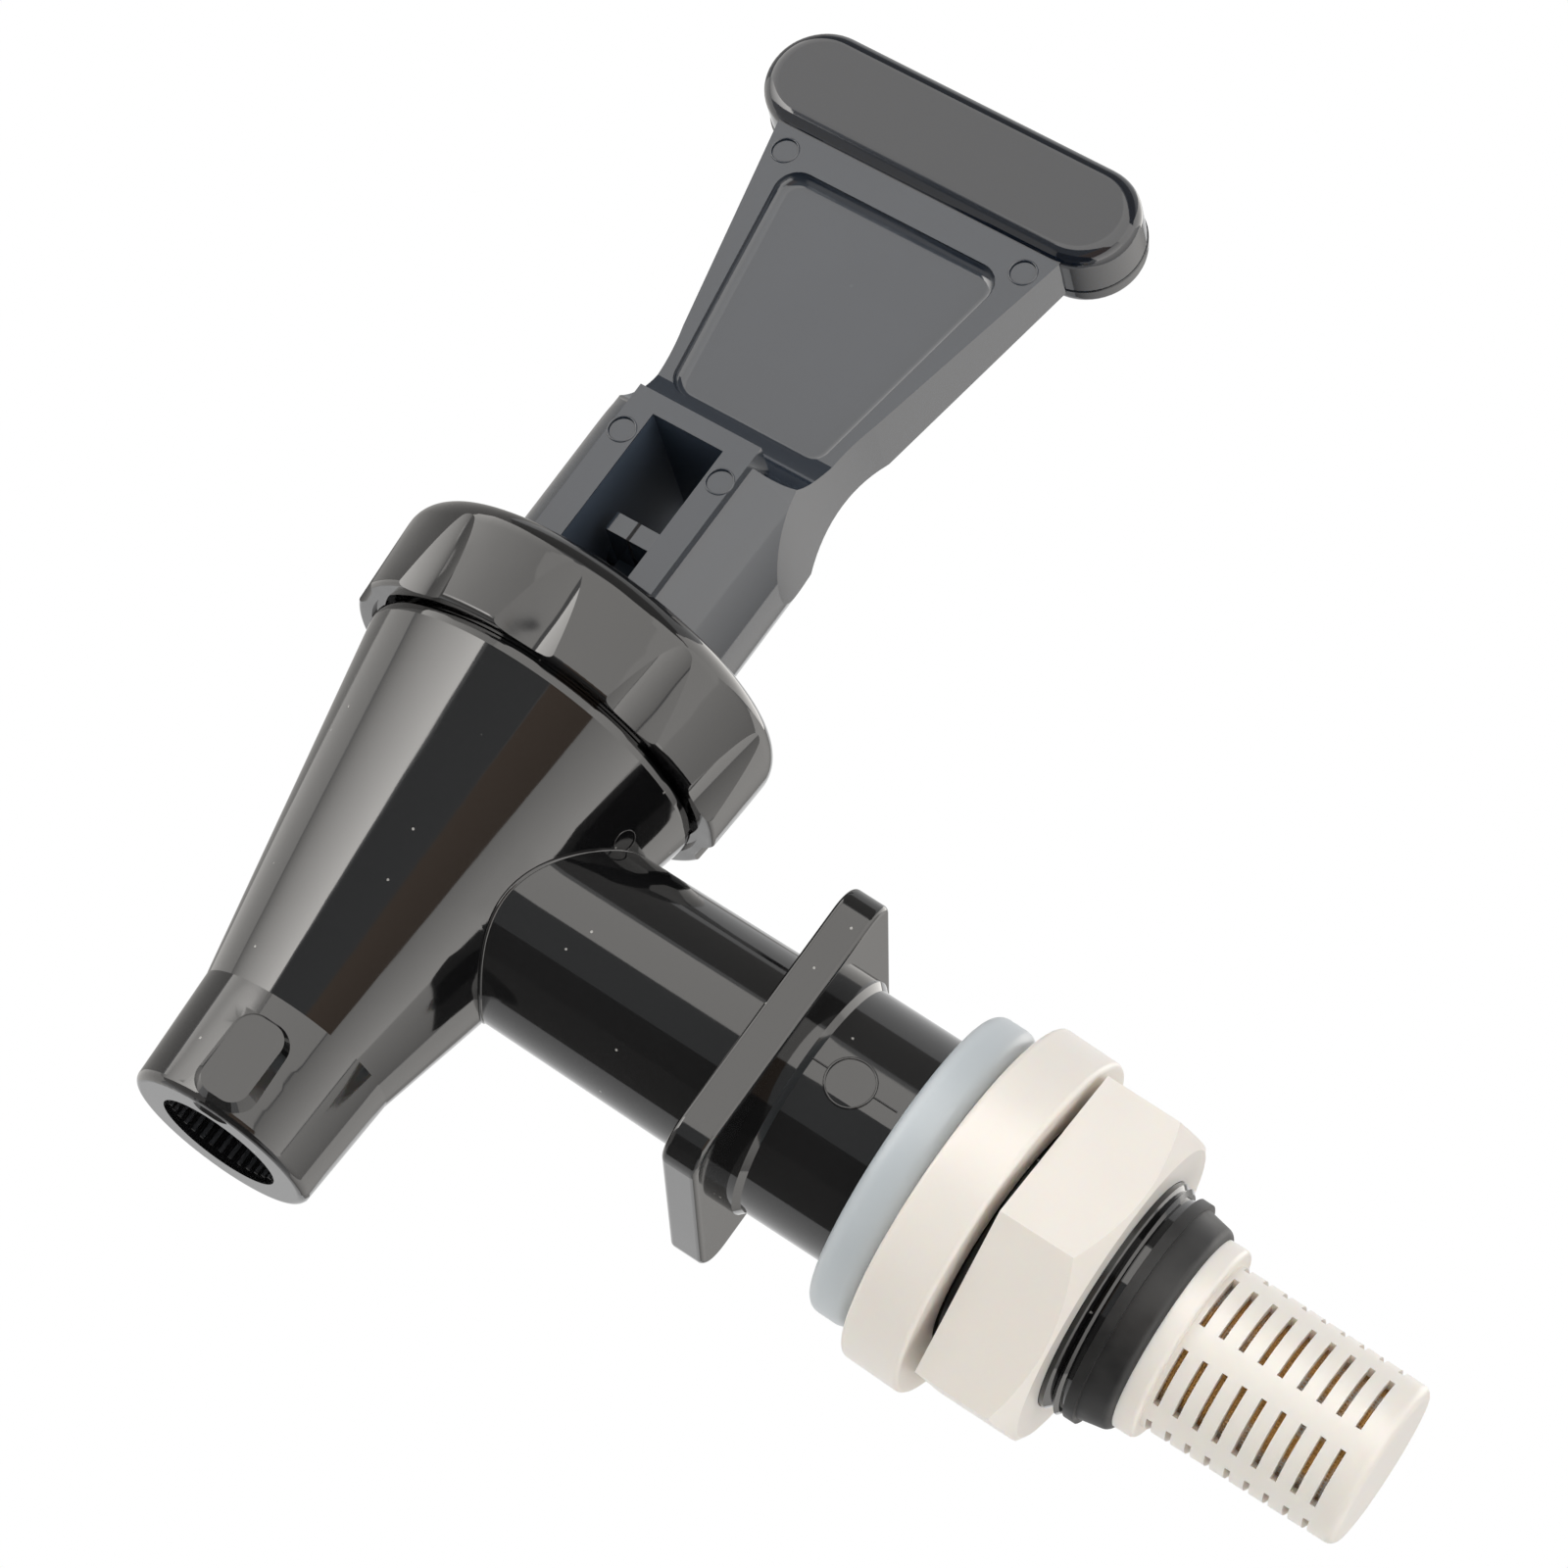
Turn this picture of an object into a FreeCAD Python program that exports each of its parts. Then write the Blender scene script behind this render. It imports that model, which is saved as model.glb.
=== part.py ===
"""Dispenser tap: a self-closing plastic tap with a tilting, swivelling lever.

Frame: X is the axis of the shank and points into the tank, Z is up, and the origin is on
the shank's axis in the seating face of the flange. The tap's front is -Y. Each piece is
drawn about the axis of the spout and then placed: there the sketches' X is the reach from
the spout and Z is the height over the shank's axis.
"""
import FreeCAD, Part
import math
import os
import re

import Sketcher
from FreeCAD import Placement, Rotation, Vector

document = FreeCAD.newDocument("dispenser_tap")

# Driving sizes in millimetres and degrees
SIZES = [
    ("outlet_drop", 28.3, "shank axis down to the mouth of the outlet"),
    ("outlet_radius", 8.05, "outside of the nozzle at its mouth"),
    ("outlet_bore", 5.2, "radius of the outlet bore"),
    ("outlet_edge", 0.7, "rounding of the nozzle's mouth"),
    ("nozzle_length", 10.0, "short nozzle below the cone"),
    ("nozzle_top_radius", 8.55, "outside of the nozzle where the cone starts"),
    ("rim_radius", 15.1, "outside of the cone at its rim"),
    ("rim_height", 12.3, "shank axis up to the rim of the cone"),
    ("rim_land", 0.7, "straight land at the rim"),
    ("body_wall", 2.0, "wall of the cone"),
    ("neck_wall", 2.2, "wall of the screwed neck above the rim"),
    ("neck_height", 6.2, "neck above the rim"),
    ("seat_drop", 8.9, "shank axis down to the valve seat's floor"),
    ("seat_lip", 0.5, "height of the raised sealing lip"),
    ("seat_lip_width", 1.0, "width of the raised sealing lip"),
    ("tube_radius", 8.6, "tube where it leaves the cone"),
    ("tube_end_radius", 8.95, "tube where it meets the flange"),
    ("flange_front", 30.8, "spout axis to the front face of the flange"),
    ("flange_thick", 3.2, "thickness of the square flange"),
    ("flange_side", 26.0, "side of the square flange"),
    ("flange_corner", 3.0, "corner radius of the flange"),
    ("flange_edge", 0.5, "rounding of the flange's faces"),
    ("collar_radius", 10.5, "seating collar behind the flange"),
    ("collar_width", 1.3, "width of the seating collar"),
    ("shank_radius", 10.0, "shank, and the crests of its thread"),
    ("shank_bore", 6.4, "radius of the waterway in the shank"),
    ("shank_reach", 65.0, "spout axis to the end of the shank"),
    ("thread_relief", 1.6, "turned-down end of the shank beyond the nut"),
    ("thread_depth", 0.7, "depth of the thread"),
    ("badge_width", 4.1, "raised blank pad on the nozzle, across"),
    ("badge_tall", 7.1, "raised blank pad on the nozzle, up"),
    ("badge_drop", 23.85, "shank axis down to the middle of the pad"),
    ("badge_stand", 0.75, "how far the pad stands out of the nozzle"),
    ("badge_draft", 30.0, "slope of the pad's sides"),
    ("badge_corner", 1.5, "corner radius of the pad"),
    ("mark_depth", 0.12, "depth of the ejector marks"),
    ("shank_mark_radius", 1.95, "ejector mark on the shank"),
    ("shank_mark_reach", 39.2, "spout axis to the shank's ejector mark"),
    ("bonnet_gap", 0.7, "gap between the cone's rim and the bonnet"),
    ("bonnet_wall", 1.4, "wall of the bonnet's skirt"),
    ("bonnet_flare", 0.4, "how much wider the bonnet is at its top than at its foot"),
    ("bonnet_top", 22.7, "shank axis up to the flat top of the bonnet"),
    ("bonnet_edge", 2.3, "rounding of the bonnet's top edge"),
    ("bonnet_foot", 0.4, "rounding of the bonnet's bottom edge"),
    ("skirt_drop", 0.35, "how far the bonnet's skirt hangs round the rim of the cone"),
    ("skirt_clearance", 0.5, "gap between the rim of the cone and the skirt"),
    ("bonnet_clearance", 0.2, "bonnet bore round the neck"),
    ("grip_count", 10, "finger scallops round the bonnet"),
    ("grip_depth", 0.95, "depth of a scallop at the bonnet's bottom edge"),
    ("grip_radius", 6.5, "radius of the cutter that makes a scallop"),
    ("bonnet_turn", 17.5, "angle of a ridge between two scallops from the front"),
    ("grip_lean", 9.0, "lean of a scallop, which runs out below the top"),
    ("cup_rim_width", 1.9, "clamped rim of the seat cup, across"),
    ("cup_rim_thick", 1.5, "clamped rim of the seat cup, thickness"),
    ("cup_wall", 1.2, "wall of the seat cup"),
    ("cup_foot_radius", 6.9, "outside of the cup's sealing foot"),
    ("cup_foot_thick", 2.4, "thickness of the cup's sealing foot"),
    ("cup_clearance", 1.4, "cup's shoulder inside the neck"),
    ("stem_radius", 2.6, "stem, a running fit in the bonnet"),
    ("stem_fit", 0.08, "running clearance of the stem and its trunnions"),
    ("stem_flange", 5.3, "radius of the flange that carries the spring"),
    ("stem_flange_thick", 1.6, "thickness of that flange"),
    ("stem_peg", 1.6, "radius of the peg in the seat cup"),
    ("stem_peg_length", 1.2, "length of the peg in the seat cup"),
    ("head_width", 3.8, "split head of the stem, across both prongs"),
    ("head_depth", 3.6, "split head of the stem, front to back"),
    ("head_slot", 0.4, "slot between the prongs"),
    ("head_above", 1.5, "prongs above the pivot"),
    ("nose_reach", 6.6, "stem axis to the tips of the head's two noses"),
    ("nose_half", 2.15, "half width across the two noses"),
    ("nose_foot", 28.1, "shank axis up to the underside of the noses"),
    ("nose_tall", 1.7, "height of the noses"),
    ("trunnion_radius", 1.5, "trunnions that carry the lever"),
    ("trunnion_reach", 4.6, "stem axis to the end of a trunnion"),
    ("pivot_height", 29.6, "shank axis up to the lever's pivot"),
    ("washer_thick", 0.8, "thrust washer above the spring"),
    ("washer_radius", 6.9, "outside of the thrust washer"),
    ("spring_radius", 4.7, "mean radius of the spring"),
    ("spring_wire", 0.9, "wire diameter of the spring"),
    ("spring_turns", 7.5, "turns of the spring"),
    ("lever_gap", 0.15, "lever's base above the bonnet"),
    ("lever_swivel", -10.0, "angle at which the lever is turned about the stem"),
    ("column_radius", 10.4, "round column at the lever's base"),
    ("column_shoulder", 37.4, "shank axis up to the column's shoulder"),
    ("column_back", 33.5, "shank axis up to the column's shoulder at the back"),
    ("frame_reach", 9.6, "stem axis to the front face of the window frame"),
    ("frame_width", 11.7, "width of the window frame"),
    ("frame_top", 39.0, "shank axis up to the top of the window frame"),
    ("window_width", 6.8, "width of the window"),
    ("window_top", 37.25, "shank axis up to the top of the window"),
    ("window_back", 7.4, "stem axis to the back of the window's cavity"),
    ("heel_offset", 5.6, "stem axis to where the rocking heel starts"),
    ("heel_rise", 1.5, "pivot up to the centre of the heel's arc"),
    ("paddle_front", 2.8, "stem axis to the front face of the paddle"),
    ("paddle_foot", 43.0, "shank axis up to where the paddle's flat front starts"),
    ("paddle_root", 48.0, "shank axis up to where the paddle's straight back starts"),
    ("paddle_root_back", 3.5, "stem axis to the paddle's back at its root"),
    ("paddle_top_back", 1.6, "stem axis to the paddle's back at its top"),
    ("paddle_top", 67.3, "shank axis up to the bar"),
    ("waist_low", 32.4, "shank axis up to the start of the waist"),
    ("waist_high", 47.7, "shank axis up to the end of the waist"),
    ("waist_half", 9.4, "half width of the paddle at the end of the waist"),
    ("waist_radius", 22.3, "hollow curve of the waist"),
    ("paddle_half", 13.8, "half width of the paddle at the bar"),
    ("panel_top", 64.4, "shank axis up to the top of the recessed panel"),
    ("panel_foot", 42.4, "shank axis up to the bottom of the recessed panel"),
    ("panel_top_half", 10.9, "half width of the recessed panel at its top"),
    ("panel_foot_half", 7.3, "half width of the recessed panel at its bottom"),
    ("panel_depth", 1.0, "depth of the recessed panel"),
    ("panel_corner", 2.0, "corner radius of the recessed panel"),
    ("panel_sweep", 0.9, "rounding between the panel's floor and its walls"),
    ("bar_height", 72.1, "shank axis up to the middle of the bar"),
    ("bar_half", 17.6, "half length of the bar"),
    ("bar_tall", 9.6, "height of the bar"),
    ("bar_front", 3.6, "stem axis to the front face of the bar"),
    ("bar_back", 3.4, "stem axis to the back face of the bar"),
    ("bar_edge", 1.4, "rounding of the bar's edges"),
    ("lever_mark_radius", 1.1, "ejector marks on the lever"),
    ("paddle_mark_half", 11.7, "half distance of the paddle's ejector marks"),
    ("paddle_mark_height", 65.3, "shank axis up to the paddle's ejector marks"),
    ("frame_mark_half", 4.75, "half distance of the frame's ejector marks"),
    ("frame_mark_height", 34.9, "shank axis up to the frame's ejector marks"),
    ("gasket_radius", 13.3, "outside of the silicone washer"),
    ("gasket_thick", 3.9, "thickness of the silicone washer"),
    ("gasket_gap", 0.9, "gap between the silicone washer and the backing ring at the shank"),
    ("gasket_lean", 2.0, "angle at which the washer leans on the shank"),
    ("gasket_edge", 1.2, "rounding of the silicone washer"),
    ("loose_fit", 0.35, "bore clearance of the loose washer and ring"),
    ("ring_radius", 15.0, "outside of the backing ring"),
    ("ring_thick", 5.3, "thickness of the backing ring"),
    ("ring_reach", 51.3, "spout axis to the middle of the backing ring"),
    ("ring_lean", 1.6, "angle at which the ring leans on the shank"),
    ("ring_edge", 0.4, "rounding of the backing ring"),
    ("nut_gap", 0.95, "gap between the backing ring and the nut at the shank"),
    ("nut_thick", 8.1, "thickness of the hexagon nut"),
    ("nut_flats", 26.4, "nut across its flats"),
    ("nut_turn", -13.0, "angle of a corner of the nut above the front"),
    ("nut_chamfer", 1.6, "length of the chamfer on the nut's corners"),
    ("nut_fit", 0.05, "nut bore round the thread's crests"),
    ("sleeve_radius", 9.3, "outside of the rubber sleeve"),
    ("sleeve_end_radius", 8.8, "rubber sleeve at the filter's end"),
    ("sleeve_length", 3.5, "rubber sleeve outside the shank"),
    ("sleeve_lip", 0.45, "height of the sleeve's lip"),
    ("sleeve_lip_width", 0.9, "width of the sleeve's lip"),
    ("sleeve_plug", 6.0, "length of the plug inside the shank"),
    ("sleeve_bore", 4.6, "bore of the rubber sleeve"),
    ("sleeve_edge", 0.8, "rounding of the sleeve's end"),
    ("filter_collar_radius", 8.3, "collar of the filter"),
    ("filter_collar_width", 1.8, "width of the filter's collar"),
    ("cage_radius", 7.15, "outside of the filter's cage at its collar"),
    ("cage_end_radius", 6.95, "outside of the filter's cage at its closed end"),
    ("cage_length", 17.0, "length of the filter's cage"),
    ("cage_wall", 1.0, "wall of the filter's cage"),
    ("cage_cap", 1.4, "thickness of the closed end"),
    ("cage_edge", 0.8, "rounding of the closed end"),
    ("cage_turn", 11.0, "angle of the slots about the shank axis"),
    ("slot_rows", 9, "slots along the cage"),
    ("slot_columns", 6, "slots round the cage"),
    ("slot_pitch", 1.73, "distance from slot to slot"),
    ("slot_gap", 0.5, "width of a slot"),
    ("slot_span", 5.2, "length of a slot round the cage"),
    ("slot_start", 0.65, "collar to the middle of the first slot"),
    ("screen_wall", 0.4, "thickness of the inner screen"),
    ("screen_fit", 0.3, "screen inside the cage"),
]

sizes = document.addObject("Spreadsheet::Sheet", "Sizes")
for row, (alias, amount, note) in enumerate(SIZES, start=1):
    sizes.set(f"A{row}", note)
    sizes.set(f"B{row}", str(amount))
    sizes.setAlias(f"B{row}", alias)
document.recompute()

ALIASES = {alias for alias, amount, note in SIZES}


def bound(text):
    """Turn an expression in plain size names into one that reads the sheet."""
    return re.sub(r"[a-z][a-z_]+", lambda word: f"Sizes.{word[0]}" if word[0] in ALIASES else word[0], text)


def size(text):
    """Value of an expression in plain size names."""
    return float(sizes.evalExpression(bound(text)))


# Places that more than one piece shares
RIM_TOP = "(rim_height + rim_land)"
NECK_RADIUS = "(rim_radius - 1.3)"
NECK_TOP = f"({RIM_TOP} + neck_height)"
BONNET_FOOT = f"({RIM_TOP} + bonnet_gap)"
SKIRT_FOOT = f"({BONNET_FOOT} - skirt_drop)"
SKIRT_RADIUS = "(rim_radius + skirt_clearance)"
BONNET_RADIUS = f"({SKIRT_RADIUS} + bonnet_wall)"
BONNET_TOP_RADIUS = f"({BONNET_RADIUS} + bonnet_flare)"
BONNET_CEILING = f"({NECK_TOP} + cup_rim_thick)"
SEAT = "(seat_lip - seat_drop)"
CUP_FLOOR = f"({SEAT} + cup_foot_thick)"
SPRING_SEAT = f"({CUP_FLOOR} + stem_flange_thick)"
LEVER_BASE = "(bonnet_top + lever_gap)"
HEEL_RADIUS = f"(pivot_height + heel_rise - {LEVER_BASE})"
FLANGE_BACK = "(flange_front + flange_thick)"
GASKET_REACH = "(ring_reach - ring_thick / 2 - gasket_gap - gasket_thick / 2)"
NUT_FRONT = "(ring_reach + ring_thick / 2 + nut_gap)"
SLEEVE_END = "(shank_reach + sleeve_length)"
COLLAR_END = f"({SLEEVE_END} + filter_collar_width)"
CAGE_END = f"({COLLAR_END} + cage_length)"
BAR_RADIUS = "(bar_tall / 2)"


def new_body(name):
    """One moulded, turned or cut piece."""
    body = document.addObject("PartDesign::Body", name)
    body.Label = name
    return body


def new_sketch(body, name, plane, offset="0"):
    """Sketch on one of the body's own origin planes, moved along its normal by offset."""
    sketch = body.newObject("Sketcher::SketchObject", name)
    support = next(item for item in body.Origin.OriginFeatures if item.Role == plane)
    sketch.AttachmentSupport = [(support, "")]
    sketch.MapMode = "FlatFace"
    if offset != "0":
        sketch.setExpression("AttachmentOffset.Base.z", bound(offset))
    return sketch


def pin_point(sketch, geometry, end, x, y):
    """Fix a point from the sketch's origin by two expressions."""
    for kind, axis, text in (("DistanceX", -2, x), ("DistanceY", -1, y)):
        amount = size(text)
        if text == "0":
            sketch.addConstraint(Sketcher.Constraint("PointOnObject", geometry, end, axis))
            continue
        index = sketch.addConstraint(Sketcher.Constraint(kind, -1, 1, geometry, end, amount))
        sketch.setExpression(f"Constraints[{index}]", bound(text))


def draw_outline(sketch, corners):
    """Closed outline. A corner is (x, y), or (x, y, radius, turn) where an arc leaves it.

    The arc's centre lies left of the way round for a turn of 1 and right of it for -1.
    """
    spots = [Vector(size(corner[0]), size(corner[1]), 0) for corner in corners]
    spans = []
    for place, corner in enumerate(corners):
        start = spots[place]
        end = spots[(place + 1) % len(corners)]
        if len(corner) == 2:
            geometry = sketch.addGeometry(Part.LineSegment(start, end), False)
            spans.append((geometry, 1, 2))
            continue
        radius = size(corner[2])
        chord = end - start
        height = math.sqrt(max(radius ** 2 - (chord.Length / 2) ** 2, 0))
        left = Vector(-chord.y, chord.x, 0).normalize()
        centre = start + chord * 0.5 + left * height * corner[3]
        first, last = (start, end) if corner[3] > 0 else (end, start)
        circle = Part.Circle(centre, Vector(0, 0, 1), radius)
        arc = Part.ArcOfCircle(circle, circle.parameter(first), circle.parameter(last))
        geometry = sketch.addGeometry(arc, False)
        spans.append((geometry, 1, 2) if corner[3] > 0 else (geometry, 2, 1))
    for place, (geometry, begin, finish) in enumerate(spans):
        following = spans[(place + 1) % len(spans)]
        sketch.addConstraint(Sketcher.Constraint("Coincident", geometry, finish, following[0], following[1]))
        pin_point(sketch, geometry, begin, corners[place][0], corners[place][1])
        if len(corners[place]) > 2:
            amount = size(corners[place][2])
            index = sketch.addConstraint(Sketcher.Constraint("Radius", geometry, amount))
            sketch.setExpression(f"Constraints[{index}]", bound(corners[place][2]))


def draw_circle(sketch, x, y, radius):
    """Circle fixed from the sketch's origin."""
    circle = Part.Circle(Vector(size(x), size(y), 0), Vector(0, 0, 1), size(radius))
    geometry = sketch.addGeometry(circle, False)
    pin_point(sketch, geometry, 3, x, y)
    index = sketch.addConstraint(Sketcher.Constraint("Radius", geometry, size(radius)))
    sketch.setExpression(f"Constraints[{index}]", bound(radius))


def turn(body, name, axis, corners, cut=False):
    """Turned form about Z or X. A corner is (radius, height) about Z, (reach, radius) about X."""
    sketch = new_sketch(body, f"{name}_outline", "XZ_Plane")
    draw_outline(sketch, corners)
    kind = "PartDesign::Groove" if cut else "PartDesign::Revolution"
    feature = body.newObject(kind, name)
    feature.Profile = sketch
    feature.ReferenceAxis = (sketch, ["V_Axis" if axis == "Z" else "H_Axis"])
    feature.Angle = 360
    sketch.Visibility = False
    return feature


def pad(body, name, sketch, length, back=None, cut=False, backward=False):
    """Straight pad or pocket; back is the length on the sketch's other side."""
    feature = body.newObject("PartDesign::Pocket" if cut else "PartDesign::Pad", name)
    feature.Profile = sketch
    if back is not None:
        feature.SideType = "Two sides"
        feature.setExpression("Length2", bound(back))
    feature.setExpression("Length", bound(length))
    feature.Reversed = backward
    return feature


def edge_names(shape, wanted):
    """Names of the edges that a test picks."""
    names = [f"Edge{index}" for index, edge in enumerate(shape.Edges, start=1) if wanted(edge)]
    if not names:
        late = [item.Name for item in document.Objects if {"Invalid", "Error"} & set(item.State)]
        raise ValueError(f"no edge is there to be rounded; not computed: {late}")
    return names


def soften(body, name, radius, wanted, kind="Fillet"):
    """Round or chamfer the edges that a test picks on the body's last feature."""
    document.recompute()
    base = body.Tip
    feature = body.newObject(f"PartDesign::{kind}", name)
    feature.Base = (base, edge_names(base.Shape, wanted))
    feature.setExpression("Radius" if kind == "Fillet" else "Size", bound(radius))
    return feature


def is_ring(radius, along, place):
    """Test for a whole circle of a given radius about Z or X at a given place."""
    def wanted(edge):
        if not isinstance(edge.Curve, Part.Circle) or abs(edge.Curve.Radius - radius) > 0.01:
            return False
        centre = edge.Curve.Center
        return abs((centre.z if along == "Z" else centre.x) - place) < 0.01
    return wanted


def middle(edge):
    """Point half way along an edge."""
    return edge.valueAt((edge.FirstParameter + edge.LastParameter) / 2)


def build_tap_body():
    """Cone, nozzle, tube, flange and shank: one black moulding."""
    body = new_body("tap_body")
    nozzle_top = "(nozzle_length - outlet_drop)"
    turn(body, "cone", "Z", [
        ("0", "-outlet_drop"),
        ("outlet_radius", "-outlet_drop"),
        ("nozzle_top_radius", nozzle_top),
        ("rim_radius", "rim_height"),
        ("rim_radius", RIM_TOP),
        (NECK_RADIUS, RIM_TOP),
        (NECK_RADIUS, NECK_TOP),
        ("0", NECK_TOP),
    ])
    thread_end = "(shank_reach - thread_relief)"
    turn(body, "tube_and_shank", "X", [
        ("0", "0"),
        ("0", "tube_radius"),
        ("flange_front", "tube_end_radius"),
        (FLANGE_BACK, "collar_radius"),
        (f"({FLANGE_BACK} + collar_width)", "collar_radius"),
        (f"({FLANGE_BACK} + collar_width + (collar_radius - shank_radius))", "shank_radius"),
        (thread_end, "shank_radius"),
        (f"({thread_end} + thread_depth)", "(shank_radius - thread_depth)"),
        ("shank_reach", "(shank_radius - thread_depth)"),
        ("shank_reach", "0"),
    ])
    badge = new_sketch(body, "badge_outline", "XZ_Plane", "(outlet_radius + badge_stand)")
    half, tall = "(badge_width / 2)", "(badge_tall / 2)"
    draw_outline(badge, [
        (f"-{half}", f"(-badge_drop - {tall} + badge_corner)", "badge_corner", 1),
        (f"-({half} - badge_corner)", f"(-badge_drop - {tall})"),
        (f"({half} - badge_corner)", f"(-badge_drop - {tall})", "badge_corner", 1),
        (half, f"(-badge_drop - {tall} + badge_corner)"),
        (half, f"(-badge_drop + {tall} - badge_corner)", "badge_corner", 1),
        (f"({half} - badge_corner)", f"(-badge_drop + {tall})"),
        (f"-({half} - badge_corner)", f"(-badge_drop + {tall})", "badge_corner", 1),
        (f"-{half}", f"(-badge_drop + {tall} - badge_corner)"),
    ])
    raised = pad(body, "badge", badge, "(badge_stand + 1.2)", backward=True)
    raised.setExpression("TaperAngle", bound("badge_draft"))
    flange = new_sketch(body, "flange_outline", "YZ_Plane", "flange_front")
    side = "(flange_side / 2)"
    draw_outline(flange, [(f"-{side}", f"-{side}"), (side, f"-{side}"), (side, side), (f"-{side}", side)])
    pad(body, "flange", flange, "flange_thick")
    corner = size(side)
    front, back = size("flange_front"), size(FLANGE_BACK)
    soften(body, "flange_corners", "flange_corner", lambda edge: (
        abs(abs(middle(edge).y) - corner) < 0.01 and abs(abs(middle(edge).z) - corner) < 0.01))
    soften(body, "flange_edges", "flange_edge", lambda edge: (
        abs(middle(edge).x - back) < 0.01 or abs(middle(edge).x - front) < 0.01)
        and max(abs(middle(edge).y), abs(middle(edge).z)) > size("collar_radius") + 0.2
        and edge.BoundBox.XLength < 0.01)
    soften(body, "mouth_edge", "outlet_edge", is_ring(size("outlet_radius"), "Z", -size("outlet_drop")))
    turn(body, "waterway", "Z", [
        ("0", "-outlet_drop"),
        ("outlet_bore", "-outlet_drop"),
        ("outlet_bore", SEAT),
        ("(outlet_bore + seat_lip_width)", SEAT),
        ("(outlet_bore + seat_lip_width)", "-seat_drop"),
        (f"({cone_radius('-seat_drop')} - body_wall)", "-seat_drop"),
        (f"({NECK_RADIUS} - neck_wall)", "rim_height"),
        (f"({NECK_RADIUS} - neck_wall)", NECK_TOP),
        ("0", NECK_TOP),
    ], cut=True)
    turn(body, "inlet", "X", [
        ("0", "0"),
        ("shank_reach", "0"),
        ("shank_reach", "shank_bore"),
        ("0", "shank_bore"),
    ], cut=True)
    mark = new_sketch(body, "shank_mark_outline", "XZ_Plane", "(shank_radius - mark_depth)")
    draw_circle(mark, "shank_mark_reach", "0", "shank_mark_radius")
    pad(body, "shank_mark", mark, "1", cut=True, backward=True)
    return body


def cone_radius(height):
    """Expression for the outside radius of the cone at a height."""
    rise = "(rim_radius - nozzle_top_radius) / (rim_height - nozzle_length + outlet_drop)"
    return f"(nozzle_top_radius + ({height} - nozzle_length + outlet_drop) * {rise})"


def build_bonnet():
    """Screwed bonnet: clamps the seat cup, guides the stem and is the lever's anvil."""
    body = new_body("bonnet")
    bore = f"({NECK_RADIUS} + bonnet_clearance)"
    turn(body, "bonnet_shell", "Z", [
        ("(stem_radius + stem_fit)", BONNET_CEILING),
        (bore, BONNET_CEILING),
        (bore, BONNET_FOOT),
        (SKIRT_RADIUS, BONNET_FOOT),
        (SKIRT_RADIUS, SKIRT_FOOT),
        (BONNET_RADIUS, SKIRT_FOOT),
        (BONNET_TOP_RADIUS, "bonnet_top"),
        ("(stem_radius + stem_fit)", "bonnet_top"),
    ])
    soften(body, "top_edge", "bonnet_edge", is_ring(size(BONNET_TOP_RADIUS), "Z", size("bonnet_top")))
    soften(body, "foot_edge", "bonnet_foot", is_ring(size(BONNET_RADIUS), "Z", size(SKIRT_FOOT)))
    scallop = new_sketch(body, "scallop_outline", "XY_Plane", SKIRT_FOOT)
    scallop.AttachmentOffset = Placement(Vector(0, 0, 0), Rotation(Vector(0, 1, 0), 0))
    scallop.setExpression("AttachmentOffset.Base.z", bound(f"({SKIRT_FOOT} - 1)"))
    scallop.setExpression("AttachmentOffset.Base.x", bound(f"({BONNET_RADIUS} - grip_depth + grip_radius)"))
    scallop.setExpression("AttachmentOffset.Rotation.Angle", bound("grip_lean"))
    draw_circle(scallop, "0", "0", "grip_radius")
    cut = pad(body, "scallop", scallop, f"(bonnet_top - {SKIRT_FOOT} + 3)", cut=True, backward=True)
    pattern = body.newObject("PartDesign::PolarPattern", "scallops")
    pattern.Originals = [cut]
    pattern.Axis = (scallop_axis(body), [""])
    pattern.Angle = 360
    pattern.setExpression("Occurrences", bound("grip_count"))
    body.Tip = pattern
    return body


def scallop_axis(body):
    """The body's own Z axis."""
    return next(item for item in body.Origin.OriginFeatures if item.Role == "Z_Axis")


def build_seat_cup():
    """Silicone seat cup: clamped rim, flexing bell and the foot that closes the seat."""
    body = new_body("seat_cup")
    shoulder = f"({NECK_RADIUS} - neck_wall - cup_clearance)"
    turn(body, "cup", "Z", [
        ("0", SEAT),
        ("(cup_foot_radius - 0.5)", SEAT),
        ("cup_foot_radius", f"({SEAT} + 0.5)"),
        ("cup_foot_radius", CUP_FLOOR),
        (shoulder, "rim_height"),
        (shoulder, NECK_TOP),
        (f"({NECK_RADIUS} - neck_wall + cup_rim_width)", NECK_TOP),
        (f"({NECK_RADIUS} - neck_wall + cup_rim_width)", BONNET_CEILING),
        (f"({shoulder} - cup_wall)", BONNET_CEILING),
        (f"({shoulder} - cup_wall)", "rim_height"),
        ("(cup_foot_radius - cup_wall)", f"({CUP_FLOOR} + 0.6)"),
        ("(cup_foot_radius - cup_wall)", CUP_FLOOR),
        ("(stem_peg + stem_fit)", CUP_FLOOR),
        ("(stem_peg + stem_fit)", f"({CUP_FLOOR} - stem_peg_length)"),
        ("0", f"({CUP_FLOOR} - stem_peg_length)"),
    ])
    return body


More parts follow.
